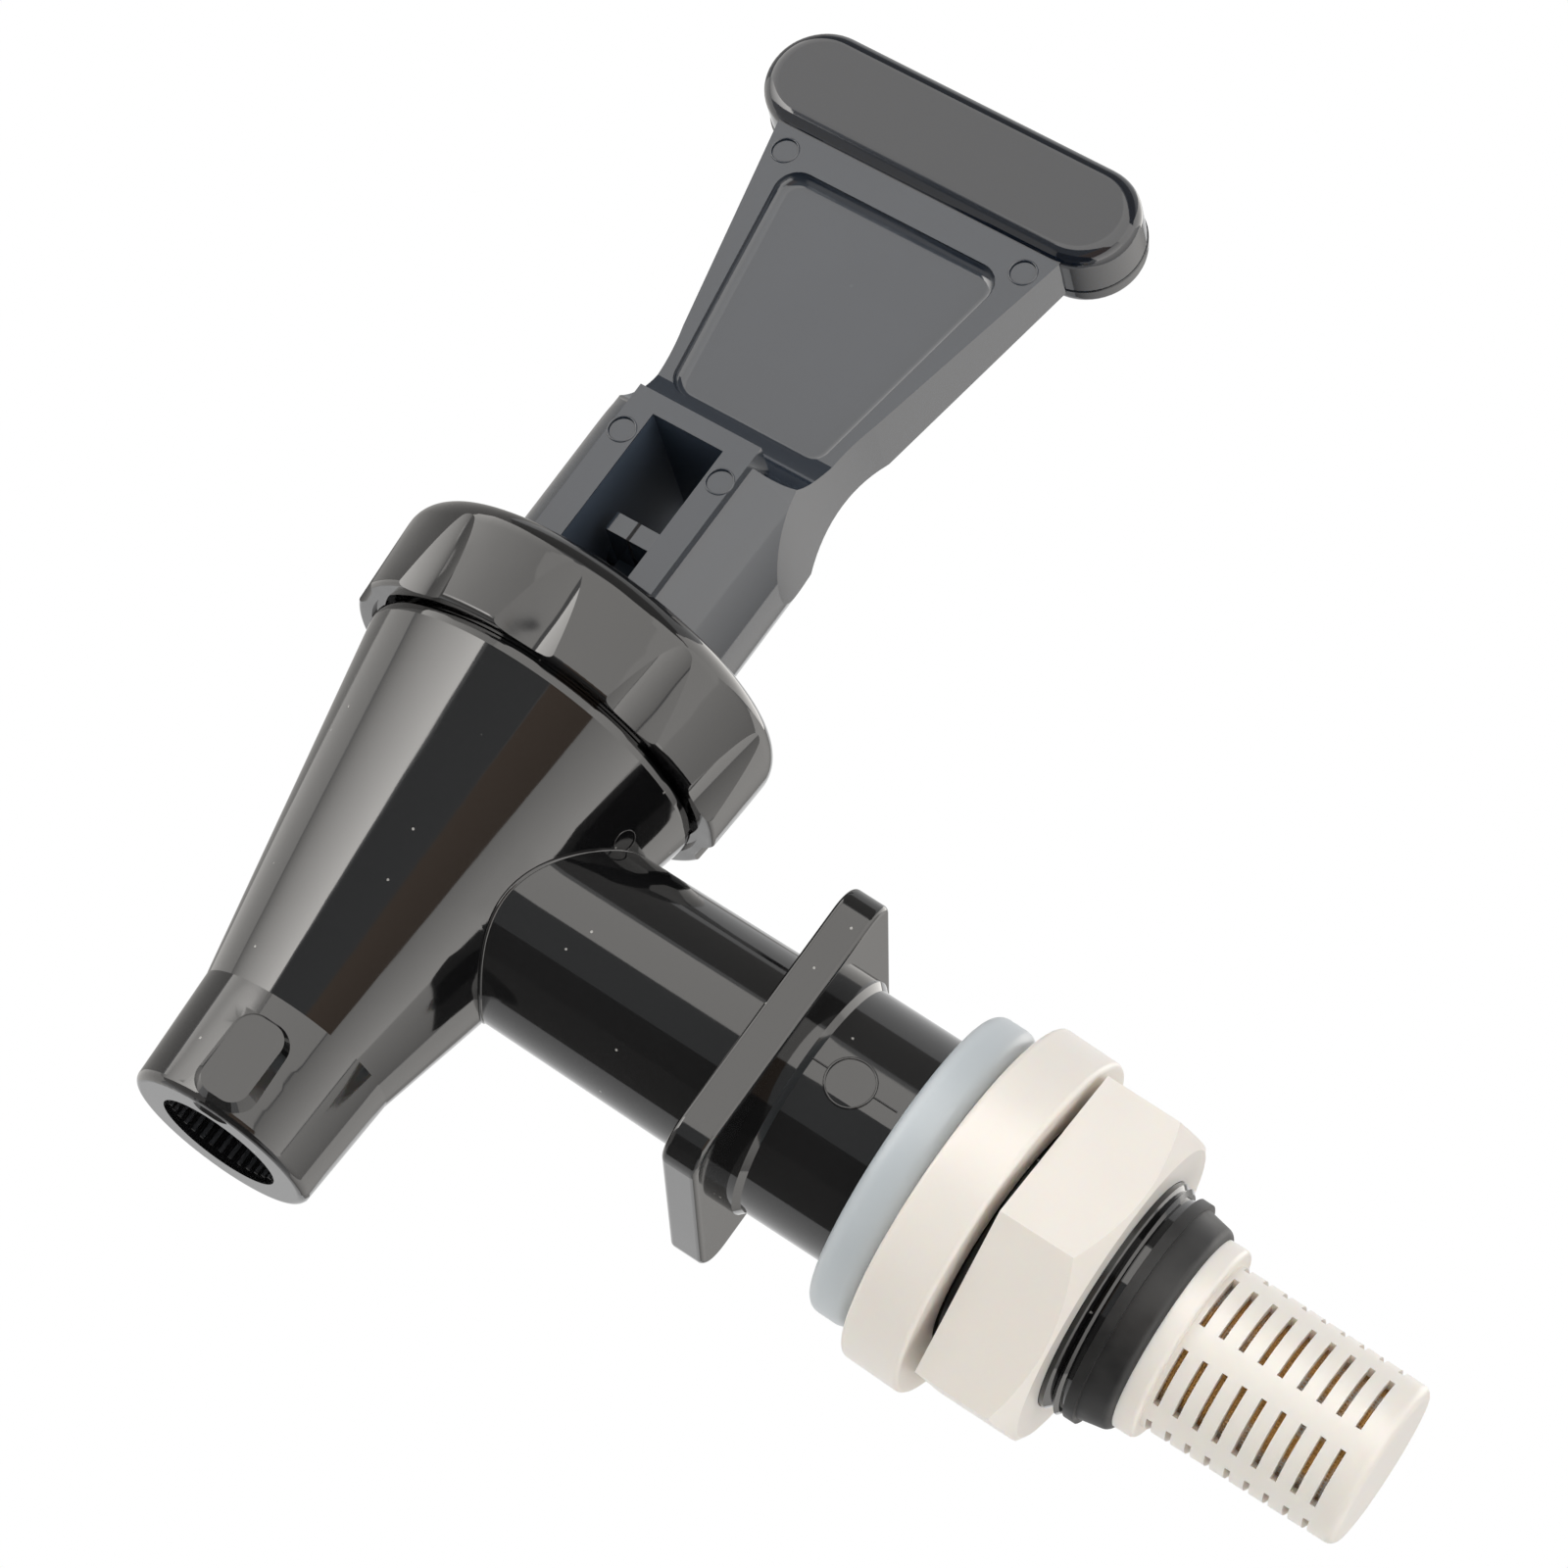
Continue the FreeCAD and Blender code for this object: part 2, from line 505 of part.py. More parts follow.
def build_stem():
    """Stem: peg for the cup, spring flange, shaft, and a split head with two trunnions."""
    body = new_body("stem")
    head_foot = f"({LEVER_BASE} + 1.5)"
    turn(body, "shaft", "Z", [
        ("0", f"({CUP_FLOOR} - stem_peg_length)"),
        ("stem_peg", f"({CUP_FLOOR} - stem_peg_length)"),
        ("stem_peg", CUP_FLOOR),
        ("stem_flange", CUP_FLOOR),
        ("stem_flange", SPRING_SEAT),
        ("stem_radius", SPRING_SEAT),
        ("stem_radius", head_foot),
        ("0", head_foot),
    ])
    half, deep = "(head_width / 2)", "(head_depth / 2)"
    head = new_sketch(body, "head_outline", "XZ_Plane")
    draw_outline(head, [
        (f"-{half}", f"({head_foot} - 1)"),
        (half, f"({head_foot} - 1)"),
        (half, "(pivot_height + head_above)"),
        (f"-{half}", "(pivot_height + head_above)"),
    ])
    pad(body, "head", head, deep, back=deep)
    nose = new_sketch(body, "nose_outline", "XZ_Plane")
    draw_outline(nose, [
        ("-nose_half", "nose_foot"),
        ("nose_half", "nose_foot"),
        ("nose_half", "(nose_foot + nose_tall)"),
        ("-nose_half", "(nose_foot + nose_tall)"),
    ])
    pad(body, "noses", nose, "nose_reach")
    trunnion = new_sketch(body, "trunnion_outline", "YZ_Plane")
    draw_circle(trunnion, "0", "pivot_height", "trunnion_radius")
    pad(body, "trunnions", trunnion, "trunnion_reach", back="trunnion_reach")
    slot = new_sketch(body, "slot_outline", "XZ_Plane")
    draw_outline(slot, [
        ("-head_slot / 2", "(nose_foot - 1)"),
        ("head_slot / 2", "(nose_foot - 1)"),
        ("head_slot / 2", "(pivot_height + head_above + 1)"),
        ("-head_slot / 2", "(pivot_height + head_above + 1)"),
    ])
    pad(body, "head_split", slot, "(nose_reach + 1)", back="head_depth", cut=True)
    return body


def build_spring():
    """Compression spring that holds the valve shut."""
    spring = document.addObject("Part::Feature", "spring")
    spring.Label = "spring"
    low = size(f"({SPRING_SEAT} + spring_wire / 2)")
    high = size(f"({BONNET_CEILING} - washer_thick - spring_wire / 2)")
    turns = size("spring_turns")
    radius = size("spring_radius")
    helix = Part.makeHelix((high - low) / turns, high - low, radius)
    section = Part.Wire(Part.makePolygon([
        Vector(radius + size("spring_wire / 2") * math.cos(step * math.pi / 3), 0,
               size("spring_wire / 2") * math.sin(step * math.pi / 3)) for step in range(7)]))
    spring.Shape = Part.Wire(helix.Edges).makePipeShell([section], True, True)
    spring.Placement = Placement(Vector(0, 0, low), Rotation())
    return spring


def build_thrust_washer():
    """Washer on which the spring turns under the bonnet."""
    body = new_body("thrust_washer")
    turn(body, "disc", "Z", [
        ("(stem_radius + 0.4)", f"({BONNET_CEILING} - washer_thick)"),
        ("washer_radius", f"({BONNET_CEILING} - washer_thick)"),
        ("washer_radius", BONNET_CEILING),
        ("(stem_radius + 0.4)", BONNET_CEILING),
    ])
    return body


def build_lever():
    """Lever: round column with a window, hollow-sided paddle with a panel, and a bar."""
    body = new_body("lever")
    bar = new_sketch(body, "bar_outline", "XZ_Plane")
    draw_outline(bar, [
        (f"-(bar_half - {BAR_RADIUS})", f"(bar_height - {BAR_RADIUS})"),
        (f"(bar_half - {BAR_RADIUS})", f"(bar_height - {BAR_RADIUS})", BAR_RADIUS, 1),
        ("bar_half", "bar_height", BAR_RADIUS, 1),
        (f"(bar_half - {BAR_RADIUS})", f"(bar_height + {BAR_RADIUS})"),
        (f"-(bar_half - {BAR_RADIUS})", f"(bar_height + {BAR_RADIUS})", BAR_RADIUS, 1),
        ("-bar_half", "bar_height", BAR_RADIUS, 1),
    ])
    pad(body, "bar", bar, "bar_front", back="bar_back")
    bar_faces = (-size("bar_front"), size("bar_back"))
    soften(body, "bar_edges", "bar_edge", lambda edge: (
        min(abs(middle(edge).y - face) for face in bar_faces) < 0.01))
    side = new_sketch(body, "side_outline", "YZ_Plane")
    heel_top = f"(pivot_height + heel_rise - sqrt({HEEL_RADIUS} ^ 2 - (column_radius - heel_offset) ^ 2))"
    front_sweep, back_sweep = "(column_radius - paddle_front)", "(column_radius - paddle_root_back) * 1.75"
    draw_outline(side, [
        ("-column_radius", LEVER_BASE),
        ("column_radius", LEVER_BASE),
        ("column_radius", "column_back", back_sweep, -1),
        ("paddle_root_back", "paddle_root"),
        ("paddle_top_back", "paddle_top"),
        ("paddle_top_back", "bar_height"),
        ("-paddle_front", "bar_height"),
        ("-paddle_front", "paddle_foot", front_sweep, -1),
        ("-column_radius", "column_shoulder"),
    ])
    pad(body, "side_form", side, "paddle_half", back="paddle_half")
    trim = new_sketch(body, "front_outline", "XZ_Plane")
    draw_outline(trim, [
        ("column_radius", f"({LEVER_BASE} - 1)"),
        ("column_radius", "waist_low", "waist_radius", -1),
        ("waist_half", "waist_high"),
        ("paddle_half", "paddle_top"),
        ("(paddle_half + 2)", "paddle_top"),
        ("(paddle_half + 2)", f"({LEVER_BASE} - 1)"),
    ])
    draw_outline(trim, [
        ("-column_radius", f"({LEVER_BASE} - 1)"),
        ("-(paddle_half + 2)", f"({LEVER_BASE} - 1)"),
        ("-(paddle_half + 2)", "paddle_top"),
        ("-paddle_half", "paddle_top"),
        ("-waist_half", "waist_high", "waist_radius", -1),
        ("-column_radius", "waist_low"),
    ])
    pad(body, "front_form", trim, "(column_radius + 1)", back="(column_radius + 1)", cut=True)
    turn(body, "column_form", "Z", [
        ("column_radius", f"({LEVER_BASE} - 1)"),
        ("(column_radius * 2)", f"({LEVER_BASE} - 1)"),
        ("(column_radius * 2)", "paddle_root"),
        ("(column_radius + 4.5)", "paddle_root", "(paddle_root - column_shoulder + 2)", 1),
        ("column_radius", "column_shoulder"),
    ], cut=True)
    frame = new_sketch(body, "frame_outline", "XZ_Plane")
    wide = "(frame_width / 2)"
    draw_outline(frame, [(f"-{wide}", LEVER_BASE), (wide, LEVER_BASE), (wide, "frame_top"), (f"-{wide}", "frame_top")])
    pad(body, "window_frame", frame, "frame_reach")
    stop = new_sketch(body, "frame_face_outline", "XZ_Plane", "frame_reach")
    draw_outline(stop, [
        ("-column_radius", f"({LEVER_BASE} - 1)"),
        ("column_radius", f"({LEVER_BASE} - 1)"),
        ("column_radius", "(frame_top + 1)"),
        ("-column_radius", "(frame_top + 1)"),
    ])
    pad(body, "frame_face", stop, "column_radius", cut=True, backward=True)
    heel = new_sketch(body, "heel_outline", "YZ_Plane")
    draw_outline(heel, [
        ("-(column_radius + 1)", f"({LEVER_BASE} - 1)"),
        ("-heel_offset", f"({LEVER_BASE} - 1)"),
        ("-heel_offset", LEVER_BASE, HEEL_RADIUS, -1),
        ("-column_radius", heel_top),
        ("-(column_radius + 1)", heel_top),
    ])
    pad(body, "heel", heel, "(column_radius + 1)", back="(column_radius + 1)", cut=True)
    panel = new_sketch(body, "panel_outline", "XZ_Plane", "(paddle_front - panel_depth)")
    wider, taller = "(panel_top_half - panel_foot_half)", "(panel_top - panel_foot)"
    wall = f"sqrt({wider} ^ 2 + {taller} ^ 2)"
    cut_back = f"(panel_corner * {taller} / ({wall} + {wider}))"
    wall_x = f"(panel_foot_half + {cut_back} * {wider} / {wall})"
    wall_z = f"(panel_foot + {cut_back} * {taller} / {wall})"
    draw_outline(panel, [
        (f"-{wall_x}", wall_z, "panel_corner", 1),
        (f"-(panel_foot_half - {cut_back})", "panel_foot"),
        (f"(panel_foot_half - {cut_back})", "panel_foot", "panel_corner", 1),
        (wall_x, wall_z),
        ("panel_top_half", "panel_top"),
        ("-panel_top_half", "panel_top"),
    ])
    pad(body, "panel", panel, "(panel_depth + 4)", cut=True, backward=True)
    floor = -size("(paddle_front - panel_depth)")
    soften(body, "panel_corners", "panel_corner", lambda edge: (
        abs(edge.BoundBox.YLength - size("panel_depth")) < 0.02
        and abs(abs(middle(edge).x) - size("panel_top_half")) < 0.01
        and abs(middle(edge).z - size("panel_top")) < 0.01))
    soften(body, "panel_floor", "panel_sweep", lambda edge: (
        edge.BoundBox.YLength < 0.01 and abs(middle(edge).y - floor) < 0.01))
    for row, face, half, height in (
            ("paddle", "paddle_front", "paddle_mark_half", "paddle_mark_height"),
            ("frame", "frame_reach", "frame_mark_half", "frame_mark_height")):
        marks = new_sketch(body, f"{row}_marks_outline", "XZ_Plane", f"({face} - mark_depth)")
        draw_circle(marks, f"-{half}", height, "lever_mark_radius")
        draw_circle(marks, half, height, "lever_mark_radius")
        pad(body, f"{row}_marks", marks, "1", cut=True, backward=True)
    window = new_sketch(body, "window_outline", "XZ_Plane")
    draw_outline(window, [
        ("-window_width / 2", f"({LEVER_BASE} - 1)"),
        ("window_width / 2", f"({LEVER_BASE} - 1)"),
        ("window_width / 2", "window_top"),
        ("-window_width / 2", "window_top"),
    ])
    pad(body, "window", window, "window_back", back="(column_radius + 1)", cut=True)
    socket = new_sketch(body, "socket_outline", "YZ_Plane")
    draw_circle(socket, "0", "pivot_height", "(trunnion_radius + stem_fit)")
    reach = "(trunnion_reach + 0.25)"
    pad(body, "sockets", socket, reach, back=reach, cut=True)
    return body


def build_loose_ring(name, radius, thick, edge):
    """Round piece that hangs loosely on the shank, modelled about its own middle."""
    body = new_body(name)
    bore = "(shank_radius + loose_fit)"
    turn(body, f"{name}_form", "X", [
        (f"-{thick} / 2", bore),
        (f"{thick} / 2", bore),
        (f"{thick} / 2", radius),
        (f"-{thick} / 2", radius),
    ])
    soften(body, f"{name}_edges", edge, lambda edge: (
        isinstance(edge.Curve, Part.Circle) and abs(edge.Curve.Radius - size(radius)) < 0.01))
    return body


def build_clamp_nut():
    """Hexagon nut on the shank's thread."""
    body = new_body("clamp_nut")
    corner = "(nut_flats / 2 / cos(30))"
    sketch = new_sketch(body, "hexagon_outline", "YZ_Plane", NUT_FRONT)
    draw_outline(sketch, [
        (f"{corner} * cos({60 * step} + 180 - nut_turn)", f"{corner} * sin({60 * step} + 180 - nut_turn)")
        for step in range(6)])
    pad(body, "hexagon", sketch, "nut_thick")
    back = f"({NUT_FRONT} + nut_thick)"
    turn(body, "corner_chamfer", "X", [
        (f"({back} - nut_chamfer)", f"({corner} + 0.01)"),
        (f"({back} + 0.1)", f"({corner} - nut_chamfer * 1.6)"),
        (f"({back} + 0.1)", f"({corner} + 2)"),
        (f"({back} - nut_chamfer)", f"({corner} + 2)"),
    ], cut=True)
    turn(body, "nut_bore", "X", [
        (f"({NUT_FRONT} - 1)", "0"),
        (f"({back} + 1)", "0"),
        (f"({back} + 1)", "(shank_radius + nut_fit)"),
        (f"({NUT_FRONT} - 1)", "(shank_radius + nut_fit)"),
    ], cut=True)
    return body


def build_shank_sleeve():
    """Rubber sleeve: plugs the shank's end and holds the filter."""
    body = new_body("shank_sleeve")
    turn(body, "sleeve", "X", [
        ("(shank_reach - sleeve_plug)", "sleeve_bore"),
        ("(shank_reach - sleeve_plug)", "shank_bore"),
        ("shank_reach", "shank_bore"),
        ("shank_reach", "(sleeve_radius + sleeve_lip)"),
        ("(shank_reach + sleeve_lip_width)", "(sleeve_radius + sleeve_lip)"),
        ("(shank_reach + sleeve_lip_width)", "sleeve_radius"),
        (SLEEVE_END, "sleeve_end_radius"),
        (SLEEVE_END, "sleeve_bore"),
    ])
    soften(body, "sleeve_end", "sleeve_edge", is_ring(size("sleeve_end_radius"), "X", size(SLEEVE_END)))
    return body


def build_filter_cage():
    """Filter: spigot, collar and a slotted cage with a closed end."""
    body = new_body("filter_cage")
    spigot_start = "(shank_reach - sleeve_plug + 1)"
    turn(body, "cage", "X", [
        (spigot_start, "(sleeve_bore - cage_wall)"),
        (spigot_start, "sleeve_bore"),
        (SLEEVE_END, "sleeve_bore"),
        (SLEEVE_END, "filter_collar_radius"),
        (COLLAR_END, "filter_collar_radius"),
        (COLLAR_END, "cage_radius"),
        (CAGE_END, "cage_end_radius"),
        (CAGE_END, "0"),
        (f"({CAGE_END} - cage_cap)", "0"),
        (f"({CAGE_END} - cage_cap)", "(cage_end_radius - cage_wall)"),
        (COLLAR_END, "(cage_radius - cage_wall)"),
        (COLLAR_END, "(sleeve_bore - cage_wall)"),
    ])
    soften(body, "cage_end_edge", "cage_edge", is_ring(size("cage_end_radius"), "X", size(CAGE_END)))
    soften(body, "collar_edge", "cage_edge / 2", is_ring(size("filter_collar_radius"), "X", size(COLLAR_END)))
    slots = new_sketch(body, "slots_outline", "XY_Plane")
    half = "(slot_span / 2)"
    for row in range(round(size("slot_rows"))):
        centre = f"({COLLAR_END} + slot_start + {row} * slot_pitch)"
        near, far = f"({centre} - slot_gap / 2)", f"({centre} + slot_gap / 2)"
        draw_outline(slots, [(near, f"-{half}"), (far, f"-{half}"), (far, half), (near, half)])
    cut = pad(body, "slots", slots, "(cage_radius + 1)", cut=True, backward=True)
    pattern = body.newObject("PartDesign::PolarPattern", "slot_ring")
    pattern.Originals = [cut]
    pattern.Axis = (next(item for item in body.Origin.OriginFeatures if item.Role == "X_Axis"), [""])
    pattern.Angle = 360
    pattern.setExpression("Occurrences", bound("slot_columns"))
    body.Tip = pattern
    return body


def build_filter_screen():
    """Fine screen inside the cage."""
    body = new_body("filter_screen")
    outside = "(cage_end_radius - cage_wall - screen_fit)"
    turn(body, "screen", "X", [
        (f"({COLLAR_END} + 0.1)", f"({outside} - screen_wall)"),
        (f"({COLLAR_END} + 0.1)", outside),
        (f"({CAGE_END} - cage_cap - 0.1)", outside),
        (f"({CAGE_END} - cage_cap - 0.1)", f"({outside} - screen_wall)"),
    ])
    return body


def place(piece, reach="0", axis=(0, 0, 1), angle="0"):
    """Put a piece in the frame of the seating face, turned about its own origin."""
    reach = f"({reach} - {FLANGE_BACK})"
    height = piece.Placement.Base.z
    piece.Placement = Placement(Vector(size(reach), 0, height), Rotation(Vector(*axis), size(angle)))
    piece.setExpression("Placement.Base.x", bound(reach))
    if angle != "0":
        piece.setExpression("Placement.Rotation.Angle", bound(angle))
    return piece


PIECES = [
    place(build_tap_body()),
    place(build_bonnet(), angle="bonnet_turn"),
    place(build_seat_cup()),
    place(build_stem(), angle="lever_swivel"),
    place(build_spring(), angle="lever_swivel"),
    place(build_thrust_washer()),
    place(build_lever(), angle="lever_swivel"),
    place(build_loose_ring("silicone_washer", "gasket_radius", "gasket_thick", "gasket_edge"),
          GASKET_REACH, (0, 0, 1), "gasket_lean"),
    place(build_loose_ring("backing_ring", "ring_radius", "ring_thick", "ring_edge"),
          "ring_reach", (0, 1, 0), "ring_lean"),
    place(build_clamp_nut()),
    place(build_shank_sleeve()),
    place(build_filter_cage(), axis=(1, 0, 0), angle="cage_turn"),
    place(build_filter_screen()),
]
document.recompute()

faults = [item.Name for item in document.Objects if {"Invalid", "Error"} & set(item.State)]
if faults:
    raise ValueError(f"objects that did not compute: {', '.join(faults)}")
for piece in PIECES:
    if piece.Shape.isNull() or not piece.Shape.isValid() or len(piece.Shape.Solids) != 1:
        raise ValueError(f"{piece.Name} is not one valid solid")

os.makedirs("parts", exist_ok=True)
for piece in PIECES:
    piece.Shape.exportStep(f"parts/{piece.Label}.step")
    print(f"{piece.Label:18s} {piece.Shape.Volume:9.1f} mm3  {len(piece.Shape.Faces):4d} faces")
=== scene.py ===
import math

import bpy
from mathutils import Matrix, Vector


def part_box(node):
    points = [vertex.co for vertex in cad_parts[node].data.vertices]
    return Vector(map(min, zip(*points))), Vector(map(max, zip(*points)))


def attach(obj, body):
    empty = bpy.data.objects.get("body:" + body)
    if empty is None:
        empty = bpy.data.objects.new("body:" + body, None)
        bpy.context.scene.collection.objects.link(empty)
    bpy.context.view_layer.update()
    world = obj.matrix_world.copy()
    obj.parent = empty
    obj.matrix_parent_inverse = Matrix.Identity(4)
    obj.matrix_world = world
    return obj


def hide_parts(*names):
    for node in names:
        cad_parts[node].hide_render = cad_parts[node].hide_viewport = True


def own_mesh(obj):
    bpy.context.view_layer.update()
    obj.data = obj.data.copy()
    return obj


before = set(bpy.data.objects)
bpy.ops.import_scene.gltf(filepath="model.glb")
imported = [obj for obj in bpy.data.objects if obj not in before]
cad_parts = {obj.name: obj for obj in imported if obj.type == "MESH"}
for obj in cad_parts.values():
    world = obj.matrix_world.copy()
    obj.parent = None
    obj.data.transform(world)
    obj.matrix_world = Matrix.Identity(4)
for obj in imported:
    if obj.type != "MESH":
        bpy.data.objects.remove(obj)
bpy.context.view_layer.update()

# The camera
# The tap is looked at from its front, a little from below and rolled, as it lies in the
# photograph. The aim is a point on the shank's axis, and aim_pixel is where it is seen.
aim = Vector((-0.009, 0, 0))
aim_pixel = (713.4, 1048.1)
image_size = 1600
focal_pixels = 7000
camera_azimuth = 0.2250
camera_elevation = -0.2640
camera_roll = 0.6330
camera_distance = 0.5267


def toward(azimuth, elevation):
    """Direction from the tap: azimuth from the front toward the tank, then up, in radians."""
    return Vector((
        math.sin(azimuth) * math.cos(elevation),
        -math.cos(azimuth) * math.cos(elevation),
        math.sin(elevation),
    ))


backward = toward(camera_azimuth, camera_elevation)
level = Vector((math.cos(camera_azimuth), math.sin(camera_azimuth), 0))
upright = backward.cross(level)
rolled_right = level * math.cos(camera_roll) + upright * math.sin(camera_roll)
rolled_up = upright * math.cos(camera_roll) - level * math.sin(camera_roll)
looking = Matrix((rolled_right, rolled_up, backward)).transposed()
aim_ray = Vector((
    (aim_pixel[0] - image_size / 2) / focal_pixels,
    (image_size / 2 - aim_pixel[1]) / focal_pixels,
    -1,
))
swing = Vector((0, 0, -1)).rotation_difference(aim_ray).to_matrix()

bpy.ops.object.select_all(action="DESELECT")
bpy.ops.object.camera_add(location=aim + backward * camera_distance)
camera = bpy.context.object
camera.rotation_euler = (looking @ swing.inverted()).to_euler()
camera.data.sensor_width = 36
camera.data.lens = focal_pixels / image_size * camera.data.sensor_width
camera.data.clip_start = 0.01
bpy.context.scene.camera = camera


# The black body
# Cone, nozzle, tube, square flange and shank are one injection moulding of black
# polystyrene, polished by its mould. Its skin ripples a little where the wall shrank.
body_colour = (0.0068, 0.0068, 0.0072)
body_dust = (0.36, 0.35, 0.33)


def new_group(name, inputs, outputs):
    """Empty shader group with the named inputs, whose kind their values tell, and outputs."""
    group = bpy.data.node_groups.new(name, "ShaderNodeTree")
    for label, value in inputs:
        kind = "NodeSocketFloat"
        if isinstance(value, tuple):
            kind = "NodeSocketVector" if len(value) == 3 else "NodeSocketColor"
        socket = group.interface.new_socket(label, in_out="INPUT", socket_type=kind)
        socket.default_value = value
    for label, kind in outputs:
        group.interface.new_socket(label, in_out="OUTPUT", socket_type=kind)
    given = group.nodes.new("NodeGroupInput").outputs
    result = group.nodes.new("NodeGroupOutput").inputs
    return group, given, result


def feed(tree, socket, term):
    """Give a socket its term, which is another node's output or a constant."""
    if isinstance(term, bpy.types.NodeSocket):
        tree.links.new(term, socket)
    else:
        socket.default_value = term


def object_place(tree):
    """The piece's own coordinates, in metres."""
    return tree.nodes.new("ShaderNodeTexCoord").outputs["Object"]


def add_math(tree, operation, *terms):
    """Result of a sum on sockets or constants."""
    node = tree.nodes.new("ShaderNodeMath")
    node.operation = operation
    for socket, term in zip(node.inputs, terms):
        feed(tree, socket, term)
    return node.outputs[0]


def add_range(tree, value, from_ends=(0, 1), to_ends=(0, 1)):
    """A value carried over from one range to another, and held inside it."""
    node = tree.nodes.new("ShaderNodeMapRange")
    labels = ("Value", "From Min", "From Max", "To Min", "To Max")
    for label, term in zip(labels, (value, *from_ends, *to_ends)):
        feed(tree, node.inputs[label], term)
    return node.outputs["Result"]


def add_mix(tree, share, first, second):
    """Mix of two colours, by the share of the second."""
    node = tree.nodes.new("ShaderNodeMix")
    node.data_type = "RGBA"
    for label, term in (("Factor", share), ("A", first), ("B", second)):
        feed(tree, node.inputs[label], (*term, 1) if isinstance(term, tuple) else term)
    return node.outputs["Result"]


def add_noise(tree, place, size, detail=2.0):
    """Noise whose lumps have a size in metres."""
    noise = tree.nodes.new("ShaderNodeTexNoise")
    noise.inputs["Detail"].default_value = detail
    feed(tree, noise.inputs["Vector"], place)
    feed(tree, noise.inputs["Scale"], add_math(tree, "DIVIDE", 1, size))
    return noise.outputs["Fac"]


def add_bump(tree, height, distance):
    """Bump node that turns a height of 0 to 1 into relief of the distance."""
    node = tree.nodes.new("ShaderNodeBump")
    feed(tree, node.inputs["Height"], height)
    feed(tree, node.inputs["Distance"], distance)
    return node


def make_moulded_skin():
    """Slow ripple, fine grain and a roughness that drifts, as on any moulded plastic."""
    group, given, result = new_group(
        "Moulded skin",
        [("Ripple Size", 0.01), ("Ripple Height", 1e-5), ("Grain Size", 4e-4),
         ("Grain Height", 1e-6), ("Smooth", 0.05), ("Rough", 0.10)],
        [("Roughness", "NodeSocketFloat"), ("Normal", "NodeSocketVector")],
    )
    place = object_place(group)
    slow = add_noise(group, place, given["Ripple Size"], detail=1.0)
    ripple = add_bump(group, slow, given["Ripple Height"])
    fine = add_noise(group, place, given["Grain Size"])
    grain = add_bump(group, fine, given["Grain Height"])
    feed(group, grain.inputs["Normal"], ripple.outputs["Normal"])
    feed(group, result["Normal"], grain.outputs["Normal"])
    drift = add_noise(group, place, given["Ripple Size"], detail=5.0)
    roughness = add_range(group, drift, (0.3, 0.7), (given["Smooth"], given["Rough"]))
    feed(group, result["Roughness"], roughness)
    return group


def make_specks():
    """Sparse specks: most cells hold none, and a speck is a small part of its cell."""
    group, given, result = new_group(
        "Specks",
        [("Cell Size", 0.004), ("Speck Share", 0.03), ("Chosen", 0.2), ("Colour", (0, 0, 0, 1)),
         ("Speck Colour", (1, 1, 1, 1)), ("Drift", 0.0)],
        [("Colour", "NodeSocketColor")],
    )
    place = object_place(group)
    cells = group.nodes.new("ShaderNodeTexVoronoi")
    feed(group, cells.inputs["Vector"], place)
    feed(group, cells.inputs["Scale"], add_math(group, "DIVIDE", 1, given["Cell Size"]))
    lot = group.nodes.new("ShaderNodeSeparateColor")
    feed(group, lot.inputs["Color"], cells.outputs["Color"])
    near = add_math(group, "LESS_THAN", cells.outputs["Distance"], given["Speck Share"])
    picked = add_math(group, "LESS_THAN", lot.outputs["Red"], given["Chosen"])
    speck = add_math(group, "MULTIPLY", near, picked)
    lumps = add_noise(group, place, given["Cell Size"], detail=3.0)
    cloud = add_range(group, lumps, to_ends=(0, given["Drift"]))
    clouded = add_mix(group, cloud, given["Colour"], given["Speck Colour"])
    feed(group, result["Colour"], add_mix(group, speck, clouded, given["Speck Colour"]))
    return group


moulded_skin = make_moulded_skin()
specks = make_specks()


def new_finish(name, skin, speckle, constants=None):
    """Material of moulded skin and specks, with constants for its Principled shader."""
    finish = bpy.data.materials.new(name)
    finish.use_nodes = True
    nodes, links = finish.node_tree.nodes, finish.node_tree.links
    shader = nodes["Principled BSDF"]
    surface = nodes.new("ShaderNodeGroup")
    surface.node_tree = moulded_skin
    for label, value in skin.items():
        surface.inputs[label].default_value = value
    links.new(surface.outputs["Roughness"], shader.inputs["Roughness"])
    links.new(surface.outputs["Normal"], shader.inputs["Normal"])
    tint = nodes.new("ShaderNodeGroup")
    tint.node_tree = specks
    for label, value in speckle.items():
        tint.inputs[label].default_value = (*value, 1) if isinstance(value, tuple) else value
    links.new(tint.outputs["Colour"], shader.inputs["Base Color"])
    for label, value in (constants or {}).items():
        shader.inputs[label].default_value = value
    return finish


def dress(node, finish):
    """Give a CAD node its finish."""
    for material_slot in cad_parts[node].material_slots:
        material_slot.material = finish


body_black = new_finish(
    "Polished black body",
    {"Ripple Size": 0.009, "Ripple Height": 1.6e-5, "Grain Size": 5e-4, "Grain Height": 3e-7,
     "Smooth": 0.045, "Rough": 0.085},
    {"Cell Size": 0.0028, "Speck Share": 0.040, "Chosen": 0.9, "Colour": body_colour,
     "Speck Colour": body_dust},
    {"IOR": 1.55},
)
dress("tap_body", body_black)


